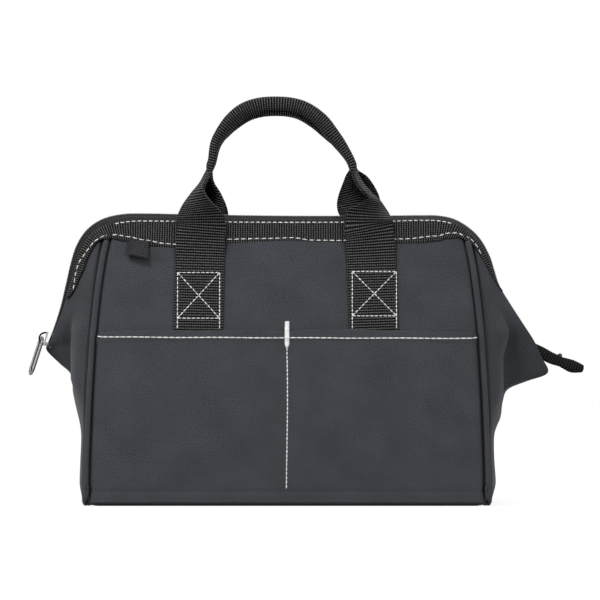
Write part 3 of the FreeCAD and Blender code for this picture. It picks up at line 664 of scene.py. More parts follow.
def zip_rows(outline, places):
    """The rows of an end: its outline, then the zip's line. Each has its seam's height up the wall, its x, y
    and z, its share folded out, and how far the cloth's edge stands before the tape."""
    rows = [(v, x, 0, z, fold, 0) for v, x, z, fold in outline]
    for place in places:
        distance = zip_distance(place)
        x, z = mouth(distance, smooth_between(CLOTH_EDGE, distance))
        y = TAPE_FRONT * wing_open(distance)
        height = at(zip_run, distance).y
        risen = (height - hinge.z) / up_wall.z - 1
        v = min(risen, CROWN_FROM + (risen - CROWN_FROM) * CROWN_SHARE)
        fold = limited((FOLD_TOP - height) / FOLD_OVER)
        before = TAPE_COVER * min(min(distance, zip_length - distance) / TAPE_RAMP, 1)
        if distance < zip_length / 2:
            before = max(before, SLIDER_COVER * min(distance / SLIDER_RAMP, 1) + y)
        rows.append((v, x, y, z, fold, before))
    return rows


# The left end has one more row near its tip, where its edge comes forward over the slider
end_rows = {
    -1: zip_rows(LEFT_OUTLINE, [0, 0.3, *range(1, LEFT_CROWN + 1)]),
    1: zip_rows(RIGHT_OUTLINE, range(len(ZIP_POINTS) - 1, RIGHT_CROWN - 1, -1)),
}


def end_point(end, across, along):
    """A point of the front half of an end: across from the piping to its outline, along from the base up.
    Folded out, the cloth runs from the seam over a belly to the crease, into the valley and along the fin."""
    v, x, y, z, fold, before = through(end_rows[end], along)
    groove = across / GROOVE_AT
    sunk = SEAM_SUNK + GROOVE_DEEP * groove * math.exp(1 - groove)
    seam = wall(end * (piping_out(v) + GROOVE_OUT * min(groove, 1)), v, -sunk)
    open_edge = Vector((x, min(y, 0), z))
    edge = Vector((x, min(y - before, 0), z))
    bow = END_BOW * max(1 - z / BOW_TOP, 0) * min(z / BOW_FOOT, 1)
    plain = seam.lerp(edge, across) + Vector((end * bow * math.sin(math.pi * across), 0, 0))
    crease_out = CREASE_OUT + CREASE_FLARE[end] * limited((z - CREASE_FLARE_FROM) / CREASE_FLARE_OVER)
    rise = z - seam.z
    crease = Vector((end * crease_out, CREASE_DEPTH * seam.y, seam.z + CREASE_RISE * rise + 1))
    valley = Vector((end * (crease_out - VALLEY_IN), VALLEY_DEPTH * seam.y - VALLEY_FORWARD,
                     seam.z + VALLEY_RISE * rise))
    belly = seam.lerp(crease, 0.5) + Vector((end * WING_BELLY, -WING_BELLY, 0))
    fin = valley.lerp(open_edge, 0.5) + Vector((0, -FIN_BELLY, 0))
    folded = through([seam, belly, crease, valley, fin, edge], across)
    return plain.lerp(folded, limited(fold))


def opens_with(piece):
    """Bakes the placing of cloth between the base and a wall into its mesh."""
    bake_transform(piece)


for end_name, end in ENDS:
    for name, side in SIDES:
        cloth = bent_grid(44, 90, lambda a, b: end_point(end, a, b))
        # The seam mark paints shade into the cloth's colour beside the piping's groove
        painted_shade_mark = cloth.verts.layers.float.new("seam")
        for vert in cloth.verts:
            beside = abs(vert.co.x) - piping_out((vert.co.z - hinge.z) / up_wall.z)
            vert[painted_shade_mark] = limited((PAINTED_SHADE_EDGE - beside) / PAINTED_SHADE_FADE)
        gusset = finished(f"{name}_{end_name}_gusset", cloth, cloth_material, side, END_CLOTH,
                          flip=end < 0)
        opens_with(gusset)
        if side > 0:
            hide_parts(f"front_{end_name}_wing", f"{end_name}_end_panel")
        else:
            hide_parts(f"rear_{end_name}_wing")

# Zip: two woven tapes sloping down from the closed mouth, with a nylon coil along each meeting edge. The
# lower edges of the tapes are sewn under the webbing band and hide the steel wire in its sleeve of cloth.
TAPE_THICK = 0.6
# The tape is tucked under the band's edge. It rises into the coil, and is a little wider than what shows
TAPE_TUCK, TAPE_RISE, TAPE_SPARE = 2.0, 1.1, 0.9
# Its lower edge lies behind the edge of the wing, and higher up, over a span of heights, on the wall
BEHIND_WING, ON_WALL = 0.6, 0.8
ON_WALL_FROM, ON_WALL_OVER = 165, 25
TAPE_MARKS = 200
# Beside the mouth the wall ends short of the piping's middle, and a wing is at least this wide
WALL_SHORT, WING_LEAST = 2, 6
# What lies over the piping there swells: how much, how far out and how widely
PIPING_SWELL, PIPING_SWELL_AT, PIPING_SWELL_WIDE = 1.6, 3, 4
COIL_PITCH = 2.1
COIL_REACH, COIL_WIDE, COIL_TALL = 3.4, 1.2, 2.5
# The coil stops short of the zip's two ends, stands above its line and reaches past the middle plane
COIL_SHORT, COIL_RISE, COIL_PAST = 2, 0.4, 0.3
# The coil's own seam lies this far down the tape, wherever so much of the tape shows
COIL_SEAM, COIL_SEAM_SHOWN = 2.5, 1.3
# Half the length, depth and height of one of its stitches
COIL_STITCH = (0.55, 0.6, 0.6, 1)
SLEEVE_RADIUS = 1.7
SLEEVE_SHORT, SLEEVE_IN, SLEEVE_FRONT = 24, 5.4, -6.5


def outer_half(x, z):
    """Half width of the mouth at a height, on the side where x lies."""
    spots = zip_run[1][:ZIP_STEPS // 2] if x < 0 else zip_run[1][:ZIP_STEPS // 2:-1]
    top = max(spot.y for spot in spots)
    for spot in spots:
        if spot.y >= min(z, top):
            return abs(spot.x)
    return abs(spots[-1].x)


def front_y(x, z):
    """Where the bag's front lies at a place near the mouth: the wall, then the wing beyond its piping."""
    v = (z - hinge.z) / up_wall.z
    flat = hinge.y + v * up_wall.y + PANEL_HALF * out_wall.y
    edge = piping_out(min(v, wall_height)) - WALL_SHORT
    out = abs(x)
    if out <= edge:
        return flat
    share = min((out - edge) / max(outer_half(x, z) - edge, WING_LEAST), 1)
    bump = PIPING_SWELL * math.exp(-((out - edge - PIPING_SWELL_AT) / PIPING_SWELL_WIDE) ** 2)
    return flat + (TAPE_FRONT - flat) * share - bump


# How far forward the lower edge of the tape reaches, at even places along the zip
tape_reach = []
for i in range(TAPE_MARKS + 1):
    distance = zip_length * i / TAPE_MARKS
    x, z = mouth(distance, smooth_between(CLOTH_EDGE, distance) + TAPE_TUCK)
    beyond = min(front_y(x, z) - ON_WALL - TAPE_FRONT, 0)
    tape_reach.append(TAPE_FRONT + BEHIND_WING + beyond * limited((z - ON_WALL_FROM) / ON_WALL_OVER))


def on_tape(distance, share):
    """A point on the tape, a share of its width from its meeting edge."""
    width = smooth_between(CLOTH_EDGE, distance) + TAPE_TUCK
    inward = smooth_between(COIL_IN, distance) - TAPE_RISE + (width + TAPE_SPARE) * share
    x, z = mouth(distance, inward)
    spot = min(max(distance / zip_length, 0), 0.999) * TAPE_MARKS
    low, high = tape_reach[int(spot)], tape_reach[int(spot) + 1]
    reach = low + (high - low) * (spot - int(spot))
    return Vector((x, -0.3 + reach * share ** 0.9 * wing_open(distance), z))


def tape_place(across, along):
    """The tape from wing tip to wing tip, 1 mm short of both."""
    return on_tape(1 + along * (zip_length - 2), across)


def zip_tape():
    """Close-woven polyester tape: darker and smoother than the cloth, with faint lines along it, drawn about
    twice as coarse as real ones."""
    material, tree, shader = new_material("zip_tape", Roughness=0.8, Specular_IOR_Level=0.1)
    where = add(tree, "TexCoord").outputs["UV"]
    lines = ridges(tree, where, "X", 1.2)
    colour = add(tree, "ValToRGB", inputs={"Fac": lines}, stops=((0, "#121213"), (1, "#262628")))
    colour_and_relief(tree, shader, colour.outputs["Color"], lines, 0.3, 0.2)
    return material


def sleeve_route(share):
    """Along the zip inside the mouth, short of both ends."""
    distance = SLEEVE_SHORT + share * (zip_length - 2 * SLEEVE_SHORT)
    x, z = mouth(distance, SLEEVE_IN)
    return Vector((x, SLEEVE_FRONT, z))


tape_material = zip_tape()
# Drawn nylon: black and half glossy, so that each turn of the coil takes a small light
coil_material = new_material("black_nylon_coil", Roughness=0.42, Base_Color=linear("#2c2d2f"))[0]
for name, side in SIDES:
    tape = finished(f"{name}_tape", bent_grid(8, 400, tape_place), tape_material,
                    side, TAPE_THICK)
    opens_with(tape)
    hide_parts(f"{name}_zip_tape")

    sleeve = finished(f"{name}_wire_sleeve", tube(sleeve_route, SLEEVE_RADIUS, 8, 300),
                      tape_material, side)
    opens_with(sleeve)
    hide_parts(f"{name}_frame")

    turns = bmesh.new()
    for i in range(round((zip_length - 2 * COIL_SHORT) / COIL_PITCH)):
        distance = COIL_SHORT + (i + (0.5 if side < 0 else 0)) * COIL_PITCH
        x, z = mouth(distance, smooth_between(COIL_IN, distance) - COIL_RISE)
        ahead = mouth(distance + 0.5, 0) - mouth(distance - 0.5, 0)
        turn = Matrix.Rotation(math.atan2(-ahead.y, ahead.x), 4, "Y")
        size = Matrix.Diagonal((COIL_WIDE / 2, COIL_REACH / 2, COIL_TALL / 2, 1))
        middle = Vector((x, COIL_PAST - COIL_REACH / 2, z))
        stamp(turns, Matrix.Translation(middle) @ turn @ size)
        shown = smooth_between(CLOTH_EDGE, distance)
        if shown > COIL_SEAM_SHOWN:
            sewn = on_tape(distance, COIL_SEAM / (shown + TAPE_TUCK)) + Vector((0, -0.1, 0.2))
            stamp(turns, Matrix.Translation(sewn) @ turn @ Matrix.Diagonal(COIL_STITCH))
    coil = finished(f"{name}_coil", turns, coil_material, side)
    opens_with(coil)
    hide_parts(f"{name}_zip_coil")

# Mouth band: webbing sewn flat round the mouth of each wall, over the tape's edge, by one white row along its
# top and one along its foot. It narrows to nothing down the wings.
BAND_GAP = 0.3
BAND_THICK = 1.1
# The band's edges stand this much further out than its thickness, and its middle twice as much
BAND_FACE = 0.4
# The lower edge: each pair is a place among the zip's points, and how far inward from its line the edge lies
BAND_DEPTH = [
    (2.4, 2.6), (2.8, 5.8), (3, 7.2), (4, 10), (5, 10.6), (6, 10.8), (7, 14.5), (8, 19), (9, 23.6),
    (9.7, 25.2), (10.3, 20.6), (11, 19.4), (11.3, 20.4), (12, 20.6), (13, 19.8), (14, 18), (15, 14),
    (16, 8.4), (16.6, 6.4), (17.7, 6), (18.9, 4), (19.6, 2.2), (20.2, 0.9),
]
# The two rows of stitches, measured the same way
UPPER_ROW = [(7.6, 5), (9, 4.3), (10, 3.8), (12, 3.3), (13, 2.4), (14.9, 2.5)]
LOWER_ROW = [
    (2.8, 5.6), (3.4, 4.6), (4, 4.7), (4.8, 7.6), (5.6, 9), (6.5, 10.4), (7.5, 13.2), (8.1, 15.9), (9, 19),
    (9.3, 21.4), (9.6, 22.2), (10.2, 17.2), (10.7, 16.2), (11.1, 15.3), (11.3, 17.2), (11.8, 17.5),
    (12.7, 16.6), (14, 14.2), (15, 9.4), (15.6, 6.6), (16.6, 4.2), (17.2, 4.5), (17.8, 4.9),
]
# Each row's points, its height past the band's thickness, its number of marks and its stitch
BAND_ROWS = ((UPPER_ROW, 0.75, 120, (4.4, 0.8, 0.85)), (LOWER_ROW, 0.85, 160, (5.3, 0.8, 0.85)))


def on_band(distance, inward, above):
    """A point on the outer face of the band."""
    x, z = mouth(distance, inward)
    return Vector((x, front_y(x, z) - above, z))


band_first, band_last = zip_distance(BAND_DEPTH[0][0]), zip_distance(BAND_DEPTH[-1][0])
band_length = band_last - band_first


def band_place(across, along):
    """Across the band from its upper edge to its lower one, and along it over the mouth."""
    distance = band_first + along * band_length
    depth = smooth_between(BAND_DEPTH, distance)
    top = smooth_between(CLOTH_EDGE, distance) + BAND_GAP
    edge = min(across, 1 - across)
    above = BAND_THICK + BAND_FACE + BAND_FACE * min(edge * 8, 1)
    return on_band(distance, top + across * (depth - top), above)


def webbing(name, gap_colour, rib_colour, rib=2.2, bead=1.8):
    """Heavy woven polypropylene: thin pale ribs across it with black gaps between, and small beads along each
    rib. Both are about 2 mm apart."""
    material, tree, shader = new_material(name, Roughness=0.7, Specular_IOR_Level=0.08)
    where = add(tree, "TexCoord").outputs["UV"]
    ribs = ridges(tree, where, "Y", rib, 0, 0.4)
    beads = ridges(tree, where, "X", bead, 0, 0.8)
    uneven = add(tree, "TexNoise", inputs={"Vector": where, "Scale": 1 / 2.2, "Detail": 3.0}).outputs["Fac"]
    beaded = add(tree, "MapRange", inputs={"Value": beads, "To Min": 0.55, "To Max": 1.0}).outputs["Result"]
    cord = add(tree, "Math", {"operation": "MULTIPLY"}, {0: ribs, 1: beaded}).outputs[0]
    height = add(tree, "Math", {"operation": "MULTIPLY_ADD"}, {0: uneven, 1: 0.4, 2: cord}).outputs[0]
    colour = add(tree, "ValToRGB", inputs={"Fac": height}, stops=((0.58, gap_colour), (1, rib_colour)))
    colour_and_relief(tree, shader, colour.outputs["Color"], height, 0.8, 0.6)
    return material


band_material = webbing("mouth_webbing", "#0a0a0a", "#626262", 1.9, 1.7)
for name, side in SIDES:
    band = finished(f"{name}_band_webbing", bent_grid(16, 300, band_place), band_material,
                    side, BAND_THICK)
    opens_with(band)
    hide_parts(f"{name}_mouth_band")

    rows = bmesh.new()
    for places, above, marks, stitch in BAND_ROWS:
        first, last = zip_distance(places[0][0]), zip_distance(places[-1][0])
        along = [first + (last - first) * i / marks for i in range(marks + 1)]
        sew(rows, [on_band(s, smooth_between(places, s), BAND_THICK + above) for s in along], *stitch)
    stitches = finished(f"{name}_band_stitches", rows, thread_material, side=side)
    opens_with(stitches)

# Cloth tab: a short loop of black binding tape folded in half, caught under the band at the front left and
# left loose. The layer behind stands out past the front one on the left, and the fold hangs askew.
TAB_LEFT, TAB_RIGHT = -121.5, -107.5
TAB_TOP, TAB_FOOT = 212, 200.3
TAB_SLANT = 4
TAB_OFFSET = 2.2
TAB_CLOTH = 0.9
# The share of the tape's length before its fold, and the share that the fold takes up
TAB_LAYER, TAB_FOLD = 0.44, 0.12
# The tab's middle before the wall at its top, how much more at its foot, half its layers' distance, its wave
TAB_FORWARD, TAB_HANG, TAB_APART, TAB_WAVE = 2.6, 3.4, 1.5, 0.8


def tab_place(across, along):
    """Down the front layer, round the fold at the foot and up again behind."""
    turn = math.pi * limited((along - TAB_LAYER) / TAB_FOLD)
    behind = 0.5 - 0.5 * math.cos(turn)
    x = TAB_LEFT + across * (TAB_RIGHT - TAB_LEFT) - TAB_OFFSET * behind
    foot = TAB_FOOT - TAB_SLANT * across
    down = min(min(along, 1 - along) / TAB_LAYER, 1)
    v = TAB_TOP + (foot - TAB_TOP) * down - 1.3 * math.sin(turn)
    wave = TAB_WAVE * math.sin(3 * across) * down
    return wall(x, v, TAB_FORWARD + TAB_HANG * down ** 2 + TAB_APART * math.cos(turn) + wave)


def binding_tape():
    """Fine ribbed polyester tape: near black and dull, with close ribs across it. Such ribs are about 1 mm
    apart, so that they are drawn about twice as coarse."""
    material, tree, shader = new_material("binding_tape", Roughness=0.75, Specular_IOR_Level=0.15)
    where = add(tree, "TexCoord").outputs["UV"]
    ribs = ridges(tree, where, "Y", 1.9, 0, 1.5)
    fuzz = add(tree, "TexNoise", inputs={"Vector": where, "Scale": 1 / 1.6, "Detail": 3.0}).outputs["Fac"]
    height = add(tree, "Math", {"operation": "MULTIPLY_ADD"}, {0: ribs, 1: 0.5, 2: fuzz}).outputs[0]
    colour = add(tree, "ValToRGB", inputs={"Fac": height}, stops=((0.35, "#0a0a0b"), (1, "#38393b")))
    colour_and_relief(tree, shader, colour.outputs["Color"], height, 0.5, 0.3)
    return material


tab = finished("cloth_tab_fold", bent_grid(14, 60, tab_place), binding_tape(),
               cloth=TAB_CLOTH, flip=True)
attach(tab, "front_wall")
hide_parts("cloth_tab")

# Handles: one length of webbing each, tucked under the pocket's hem, sewn to the wall with a boxed cross at
# each foot, folded in half above the mouth and rolled round at the grip so that its edges meet underneath.
STRAP_HALF = 19
STRAP_THICK = 1.5
# The strap lies this far off the panel, and further out where it crosses the band
STRAP_GAP, OVER_BAND = 0.4, 1.7
# The strap's middle line seen from the front, from the left foot to the right one
HANDLE_POINTS = [
    (-68.8, 131), (-68.5, 150), (-68.0, 170), (-67.6, 190), (-66.8, 208), (-66.0, 218), (-65.4, 227),
    (-64.4, 235), (-63.4, 243.5), (-62.6, 250.5), (-60.6, 258.6), (-58.3, 265.4), (-55, 277.7),
    (-49.5, 286.7), (-41.3, 296.4), (-32, 303.4), (-21, 307), (-8.6, 307.9), (3.1, 307), (13.3, 303.8),
    (24.6, 296), (33.5, 285.9), (42.6, 275), (50.4, 263.5), (51.2, 254.5), (52.2, 246), (54.2, 238.5),
    (57, 231), (60.2, 224), (62.8, 216), (64.6, 206), (65.6, 190), (66.2, 170), (66.9, 150), (67.5, 131),
]
STEPS_BETWEEN = 12
# The points where the handle's arch begins and ends
LEFT_NECK, RIGHT_NECK = 11, 23
# Each flare seen from the front at even heights: its left edge, the crest of its fold, its right edge, and
# where the crest lies across the strap from its left edge
FLARE_FOOT, FLARE_TOP = 216.5, 262
FLARES = {
    ("front", "left"): [
        (-86, -48.2, -47.9, 0.98), (-85.4, -49.3, -48.9, 0.95), (-84.2, -54.5, -54.2, 0.79),
        (-81, -60.8, -60.3, 0.58), (-75.1, -65, -64, 0.5), (-69, -62.9, -62, 0.5),
        (-65.4, -58.9, -58.5, 0.5), (-62.7, -56.8, -56.5, 0.5)],
    ("front", "right"): [
        (45.9, 46.2, 83.3, 0.02), (46.2, 46.5, 80.9, 0.03), (49.5, 49.2, 78.8, 0.1),
        (63, 62.5, 73.4, 0.45), (58.5, 58, 66.3, 0.5), (54, 53.5, 60.5, 0.5),
        (51, 50.6, 56.4, 0.5), (49.5, 49, 54, 0.5)],
    ("rear", "left"): [
        (-86, -67, -47.8, 0.5), (-84, -65.5, -46, 0.5), (-80, -64, -46.6, 0.5),
        (-76, -63, -48.6, 0.5), (-72, -62, -52, 0.5), (-67, -61.5, -56.6, 0.5),
        (-63.5, -60.7, -57.9, 0.5), (-61.5, -59, -56.6, 0.5)],
    ("rear", "right"): [
        (46, 64.5, 82.5, 0.5), (41, 60, 78.5, 0.5), (39.2, 57.5, 75.5, 0.5),
        (39, 57, 73.4, 0.5), (40.5, 56, 71.3, 0.5), (43.1, 55, 67.6, 0.5),
        (45.9, 53, 62.2, 0.5), (49.2, 51.5, 54.2, 0.5)],
}
# How far the strap's middle stands off the mouth, and the share by which its edges stand off less
STAND_OFF, EDGES_LESS = 13, 0.6
# How much a flare's edges hang below its crest, as a share of their distance from it
FLARE_DROOP = 0.2
# Heights between which the strap rises on to the band, stands off, and is drawn in again by the handle
BAND_RISE, STAND_RISE, STAND_FALL = (200, 210), (196, 229), (240, 260)
# Heights between which the strap becomes a flare, and the flare folds back, droops, comes into the handle's
# plane and becomes the neck
FLARE_BEGINS = (FLARE_FOOT - 4, FLARE_FOOT + 3)
FOLDS_BACK = (218, 234)
DROOPS = (FLARE_FOOT, 240)
INTO_PLANE = (FLARE_FOOT - 2, 250)
NECK_BEGINS = (FLARE_TOP - 7, FLARE_TOP)
# Above this height a flare no longer follows the wall's lean
WALL_TOP = 226
# Where the fold's crest lies off the strap's middle line, at places among the handle's points
HANDLE_CREST = [(11, 0), (14, 0.12), (17, 0.15), (20, 0.12), (23, 0)]
CREST_ROUND = 0.08
# How far the folded halves bulge apart at the necks
NECK_BULGE = 3.5
# How far the rolled grip's front and rear parts bulge, half their heights, and the grip's turn on the way up
GRIP_FRONT, GRIP_REAR = (4.0, 5.6), (6.3, 7.6)
GRIP_TWIST = 86
# The handle leans back towards the bag's middle
HANDLE_LEAN = math.tan(math.radians(7))
handle_axis = Vector(joints["front_handle_swing"]["pos_m"]) / MM
handle_steps = STEPS_BETWEEN * (len(HANDLE_POINTS) - 1)
handle_run = measured([through(HANDLE_POINTS, i / handle_steps) for i in range(handle_steps + 1)])
handle_length = handle_run[0][-1]
handle_mark = [handle_run[0][STEPS_BETWEEN * i] for i in range(len(HANDLE_POINTS))]


def along_handle(places, distance):
    """A value given at some places along the handle's points, eased from each to the next."""
    i = step_at(handle_mark, distance)
    place = i - 1 + (distance - handle_mark[i - 1]) / (handle_mark[i] - handle_mark[i - 1])
    k = step_at([known for known, value in places], place)
    (a, low), (b, high) = places[k - 1], places[k]
    return low + (high - low) * ease(a, b, place)


def strap_y(x, z):
    """Where a strap's outer face lies on the wall: on the panel, then over the band."""
    v = (z - hinge.z) / up_wall.z
    return wall(x, v, PANEL_HALF + STRAP_THICK + STRAP_GAP + OVER_BAND * ease(*BAND_RISE, v)).y


def stand_off(z, across):
    """How far a strap stands off the band and the mouth, most in its middle, until the handle draws it in."""
    bulge = 1 - EDGES_LESS * (2 * across - 1) ** 2
    return STAND_OFF * ease(*STAND_RISE, z) * (1 - ease(*STAND_FALL, z)) * bulge


def flare_point(name, x, z, across):
    """A point of a strap where it folds in half on its way up: each part falls back from the fold's crest."""
    end_name = "left" if x < 0 else "right"
    share_up = (z - FLARE_FOOT) / (FLARE_TOP - FLARE_FOOT)
    left, crest, right, share = through(FLARES[name, end_name], share_up)
    from_left = across if x < 0 else 1 - across
    if from_left < share:
        t = 1 - from_left / share
        far = left - crest
        length = 2 * STRAP_HALF * share
    else:
        t = (from_left - share) / (1 - share)
        far = right - crest
        length = 2 * STRAP_HALF * (1 - share)
    back = max(length ** 2 - far ** 2, 0) ** 0.5 * t ** 1.5 * ease(*FOLDS_BACK, z)
    plane = handle_axis.y + (z - handle_axis.z) * HANDLE_LEAN
    risen = ease(*INTO_PLANE, z)
    front = strap_y(crest + far * t, min(z, WALL_TOP)) * (1 - risen) + (plane - STRAP_HALF / 2) * risen
    front -= stand_off(z, across)
    droop = FLARE_DROOP * abs(far) * t * ease(*DROOPS, z)
    return Vector((crest + far * t, front + back, z - droop))


def strap_place(name, across, along):
    """The strap's outer face. On the wall it is flat, then folded in half, and the folded section turns round
    its middle line on the way from each neck to the top of the grip."""
    distance = along * handle_length
    x, z = at(handle_run, distance)
    ahead = (at(handle_run, distance + 1) - at(handle_run, distance - 1)).normalized()
    inside = Vector((ahead.y, 0, -ahead.x))
    toward = Vector((0, -1, 0))
    u = 2 * across - 1
    if z < FLARE_BEGINS[0]:
        spot = Vector((x, 0, z)) + inside * STRAP_HALF * u
        spot.y = strap_y(spot.x, spot.z) - stand_off(z, across)
        return spot

    neck, other_neck = handle_mark[LEFT_NECK], handle_mark[RIGHT_NECK]
    arch = limited((distance - neck) / (other_neck - neck))
    risen = max(math.sin(math.pi * arch), 0) ** 1.15
    twist = math.radians(GRIP_TWIST) * risen
    ridge = toward * math.cos(twist) - inside * math.sin(twist)
    aside = inside * math.cos(twist) + toward * math.sin(twist)
    crest = along_handle(HANDLE_CREST, distance)
    sign = 1 if u > crest else -1
    length = STRAP_HALF * (1 - sign * crest)
    t = STRAP_HALF * abs(u - crest) / length
    rounded = (t * t + CREST_ROUND ** 2) ** 0.5 - CREST_ROUND
    out = sign * NECK_BULGE * math.sin(0.8 * math.pi * t ** 0.6)
    down = length * rounded - STRAP_HALF / 2
    wide, tall = GRIP_FRONT if sign > 0 else GRIP_REAR
    round_out = sign * wide * math.sin(math.pi * t ** 0.85)
    round_down = tall * (1 - math.cos(math.pi * t ** 0.85)) - GRIP_REAR[1]
    out += (round_out - out) * risen
    down += (round_down - down) * risen
    spot = Vector((x, handle_axis.y + (z - handle_axis.z) * HANDLE_LEAN, z)) + aside * out - ridge * down

    if z < FLARE_TOP:
        flat = Vector((x, 0, z)) + inside * STRAP_HALF * u
        flat.y = strap_y(flat.x, min(flat.z, WALL_TOP)) - stand_off(z, across)
        flared = flat.lerp(flare_point(name, x, z, across), ease(*FLARE_BEGINS, z))
        spot = flared.lerp(spot, ease(*NECK_BEGINS, z))
    return spot


# Each boxed cross seen from the front: its left and right, its foot and its top. The side rows run on below
CROSSES = ((-85, -52.3, 143.9, 179), (50.7, 85, 145.7, 179.8))
ROW_FOOT = 135.5
CROSS_STITCH = (3.5, 0.86, 0.85)


def straight(first, last, count=12):
    """Points along a straight row of stitches on a strap."""
    spots = [Vector(first).lerp(Vector(last), i / count) for i in range(count + 1)]
    return [Vector((x, strap_y(x, z) - 0.15, z)) for x, z in spots]


strap_material = webbing("strap_webbing", "#010101", "#646464")
# Painted light: the strap's inside is the same webbing, with paler ribs so that its faces in shade look lit
strap_inside_painted_light = webbing("strap_webbing_inside_painted_light", "#020202", "#7c7c7c")
for name, side in SIDES:
    handle = finished(f"{name}_handle_webbing", bent_grid(48, 330, lambda a, b: strap_place(name, a, b)),
                      strap_material, side, STRAP_THICK)
    handle.data.materials.append(strap_inside_painted_light)
    handle.modifiers["cloth"].material_offset = 1
    turn = Vector((1, side, 1)) * MM
    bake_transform(handle)
    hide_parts(f"{name}_handle_grip", f"{name}_left_strap", f"{name}_right_strap")

    rows = bmesh.new()
    for left, right, low, high in CROSSES:
        for first, last in (((left, high), (left, ROW_FOOT)), ((right, high), (right, ROW_FOOT)),
                            ((left, high), (right, high)), ((left, low), (right, low)),
                            ((left, high), (right, low)), ((left, low), (right, high))):
            sew(rows, straight(first, last), *CROSS_STITCH)
    stitches = finished(f"{name}_cross_stitches", rows, thread_material, side=side)
    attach(stitches, f"{name}_wall")

# Zip tail: the closed zip runs on past the right wing tip as a doubled tape, ends in a folded piece of
# webbing and carries a small moulded stop.
# The two routes seen from the front, with the width at each point, then the thickness
TAIL_ROUTE = [(188, 121.5), (197, 116.5), (206, 111.5), (214.5, 108.5)]
TAIL_WIDTHS, TAIL_THICK = (7, 9, 9, 8), 2.6
TAIL_TAB_ROUTE = [(211, 109.6), (217, 107.2), (223, 104.9), (231.5, 103.0)]
TAIL_TAB_WIDTHS, TAIL_TAB_THICK = (7, 8.8, 9.8, 5.5), 4.2
STOP_PLACE, STOP_RADIUS = (212.8, 0, 113.4), 1.9


def flat_tube(points, widths, thick, rows, sides=16):
    """A flattened round piece along a row of x and z points in the middle plane, rounded off at both ends."""
    def place(across, along):
        x, z = through(points, along)
        ahead = (through(points, along + 0.02) - through(points, along - 0.02)).normalized()
        angle = 2 * math.pi * across
        end = min(min(along, 1 - along) * rows / 3, 1)
        trim = (1 - (1 - end) ** 2) ** 0.5
        wide = trim * through([(w, 0) for w in widths], along).x / 2 * math.cos(angle)
        flat = trim * thick / 2 * math.copysign(abs(math.sin(angle)) ** 0.6, math.sin(angle))
        return Vector((x - ahead.y * wide, flat, z + ahead.x * wide))

    return closed(bent_grid(sides, rows, place))


tail_material = webbing("tail_webbing", "#060606", "#3c3c3c")
tail = finished("zip_tail_tape", flat_tube(TAIL_ROUTE, TAIL_WIDTHS, TAIL_THICK, 40),
                tail_material)
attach(tail, "base")
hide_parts("zip_tail")
tail_tab = finished("zip_tail_webbing", flat_tube(TAIL_TAB_ROUTE, TAIL_TAB_WIDTHS, TAIL_TAB_THICK, 40),
                    tail_material)
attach(tail_tab, "base")
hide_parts("zip_tail_tab")
stop_bm = bmesh.new()
bmesh.ops.create_uvsphere(stop_bm, u_segments=20, v_segments=12, radius=STOP_RADIUS,
                          matrix=Matrix.Translation(STOP_PLACE))
# Moulded nylon: black, with a soft shine
stop_material = new_material("moulded_black_nylon", Roughness=0.45, Base_Color=linear("#151516"))[0]
stop = finished("zip_stop_bead", stop_bm, stop_material)
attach(stop, "base")
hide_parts("zip_stop")

# Slider and pull: a cast slider with a wire bail over it, and an oval ring of wire that hangs from the bail.
# The plated slider is pale and shines softly, the blackened bail shows thin lights only, and the ring is a
# darker grey with sharper lights.
METALS = (
    ("slider_body", "nickel_plate", 0.32, "#a9a9a8"),
    ("slider_bail", "black_steel_wire", 0.35, "#1b1b1c"),
    ("pull_ring", "gunmetal_wire", 0.25, "#77777a"),
)
for node, metal, roughness, colour in METALS:
    coat(node, new_material(metal, Metallic=1.0, Roughness=roughness, Base_Color=linear(colour))[0])

# Studio: a pale floor, a white surround and soft light from above, in front, the sides and behind. A long
# lens looks at the bag's front, very slightly from above.
MM_PER_PIXEL = 0.78
PICTURE = 600
VIEW_MIDDLE = Vector((10.1, 0, 156.8))
VIEW_DISTANCE = 9000
VIEW_ELEVATION = 1.5
SENSOR = 36
FLOOR_HALF = 2200
# Each lamp's place, its size and its power in watts, and where all of them point
LAMPS = (
    ("key", (-400, -580, 1120), 380, 7.6),
    ("fill", (1200, -1150, 400), 900, 10.5),
    ("side", (-1350, -650, 450), 700, 6.5),
    ("back", (200, 1100, 1600), 1000, 14),
)
LAMP_AIM = Vector((0, 0, 120))


def seen_directly(tree):
    """1 where the eye sees a thing straight, in a mirror or through glass, 0 where it only gives light."""
    path = add(tree, "LightPath")
    seen = path.outputs["Is Camera Ray"]
    for ray in ("Is Glossy Ray", "Is Transmission Ray"):
        seen = add(tree, "Math", {"operation": "MAXIMUM"}, {0: seen, 1: path.outputs[ray]}).outputs[0]
    return seen


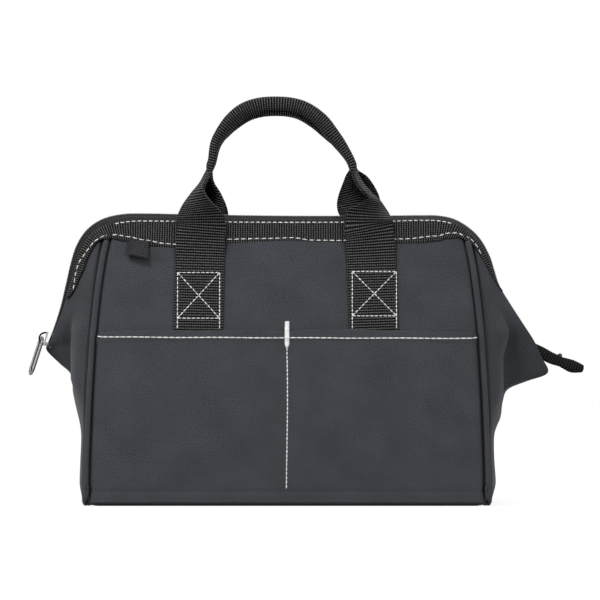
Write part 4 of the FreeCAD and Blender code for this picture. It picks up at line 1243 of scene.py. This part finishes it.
# Matt grey card that glows for the eye alone, so that it looks white and still keeps a shadow
floor_bm = bmesh.new()
bmesh.ops.create_grid(floor_bm, x_segments=1, y_segments=1, size=FLOOR_HALF)
floor_material, floor_tree, floor_shader = new_material("pale_floor", Roughness=0.9)
floor_shader.inputs["Base Color"].default_value = linear("#707070")
floor_light = add(floor_tree, "Emission", inputs={"Color": (1, 1, 1, 1), "Strength": 0.84})
floor_sum = add(floor_tree, "AddShader", inputs={0: floor_shader.outputs[0], 1: floor_light.outputs[0]})
floor_mix = add(floor_tree, "MixShader", inputs={0: seen_directly(floor_tree), 1: floor_shader.outputs[0],
                                                 2: floor_sum.outputs[0]})
floor_tree.links.new(floor_mix.outputs[0], floor_tree.nodes["Material Output"].inputs["Surface"])
floor = finished("floor", floor_bm, floor_material)

world = bpy.data.worlds.new("white_surround")
bpy.context.scene.world = world
world.use_nodes = True
world_tree = world.node_tree
world_level = add(world_tree, "MapRange", inputs={"Value": seen_directly(world_tree), "To Min": 0.2,
                                                  "To Max": 1.0})
world_light = world_tree.nodes["Background"]
world_light.inputs["Color"].default_value = (1, 1, 1, 1)
world_tree.links.new(world_level.outputs["Result"], world_light.inputs["Strength"])

for lamp_name, place, size, watts in LAMPS:
    lamp = bpy.data.lights.new(lamp_name, "AREA")
    lamp.size = size * MM
    lamp.energy = watts
    lamp_object = bpy.data.objects.new(lamp_name, lamp)
    lamp_object.location = Vector(place) * MM
    aim = LAMP_AIM * MM - lamp_object.location
    lamp_object.rotation_euler = aim.to_track_quat("-Z", "Y").to_euler()
    bpy.context.collection.objects.link(lamp_object)

camera_data = bpy.data.cameras.new("camera")
camera_data.sensor_width = SENSOR
camera_data.lens = SENSOR * VIEW_DISTANCE / (MM_PER_PIXEL * PICTURE)
camera_data.clip_end = 100
camera = bpy.data.objects.new("camera", camera_data)
bpy.context.collection.objects.link(camera)
tilt = math.radians(VIEW_ELEVATION)
camera.location = (VIEW_MIDDLE + Vector((0, -math.cos(tilt), math.sin(tilt))) * VIEW_DISTANCE) * MM
camera.rotation_euler = (math.pi / 2 - tilt, 0, 0)
bpy.context.scene.camera = camera
bpy.context.scene.view_settings.view_transform = "Standard"
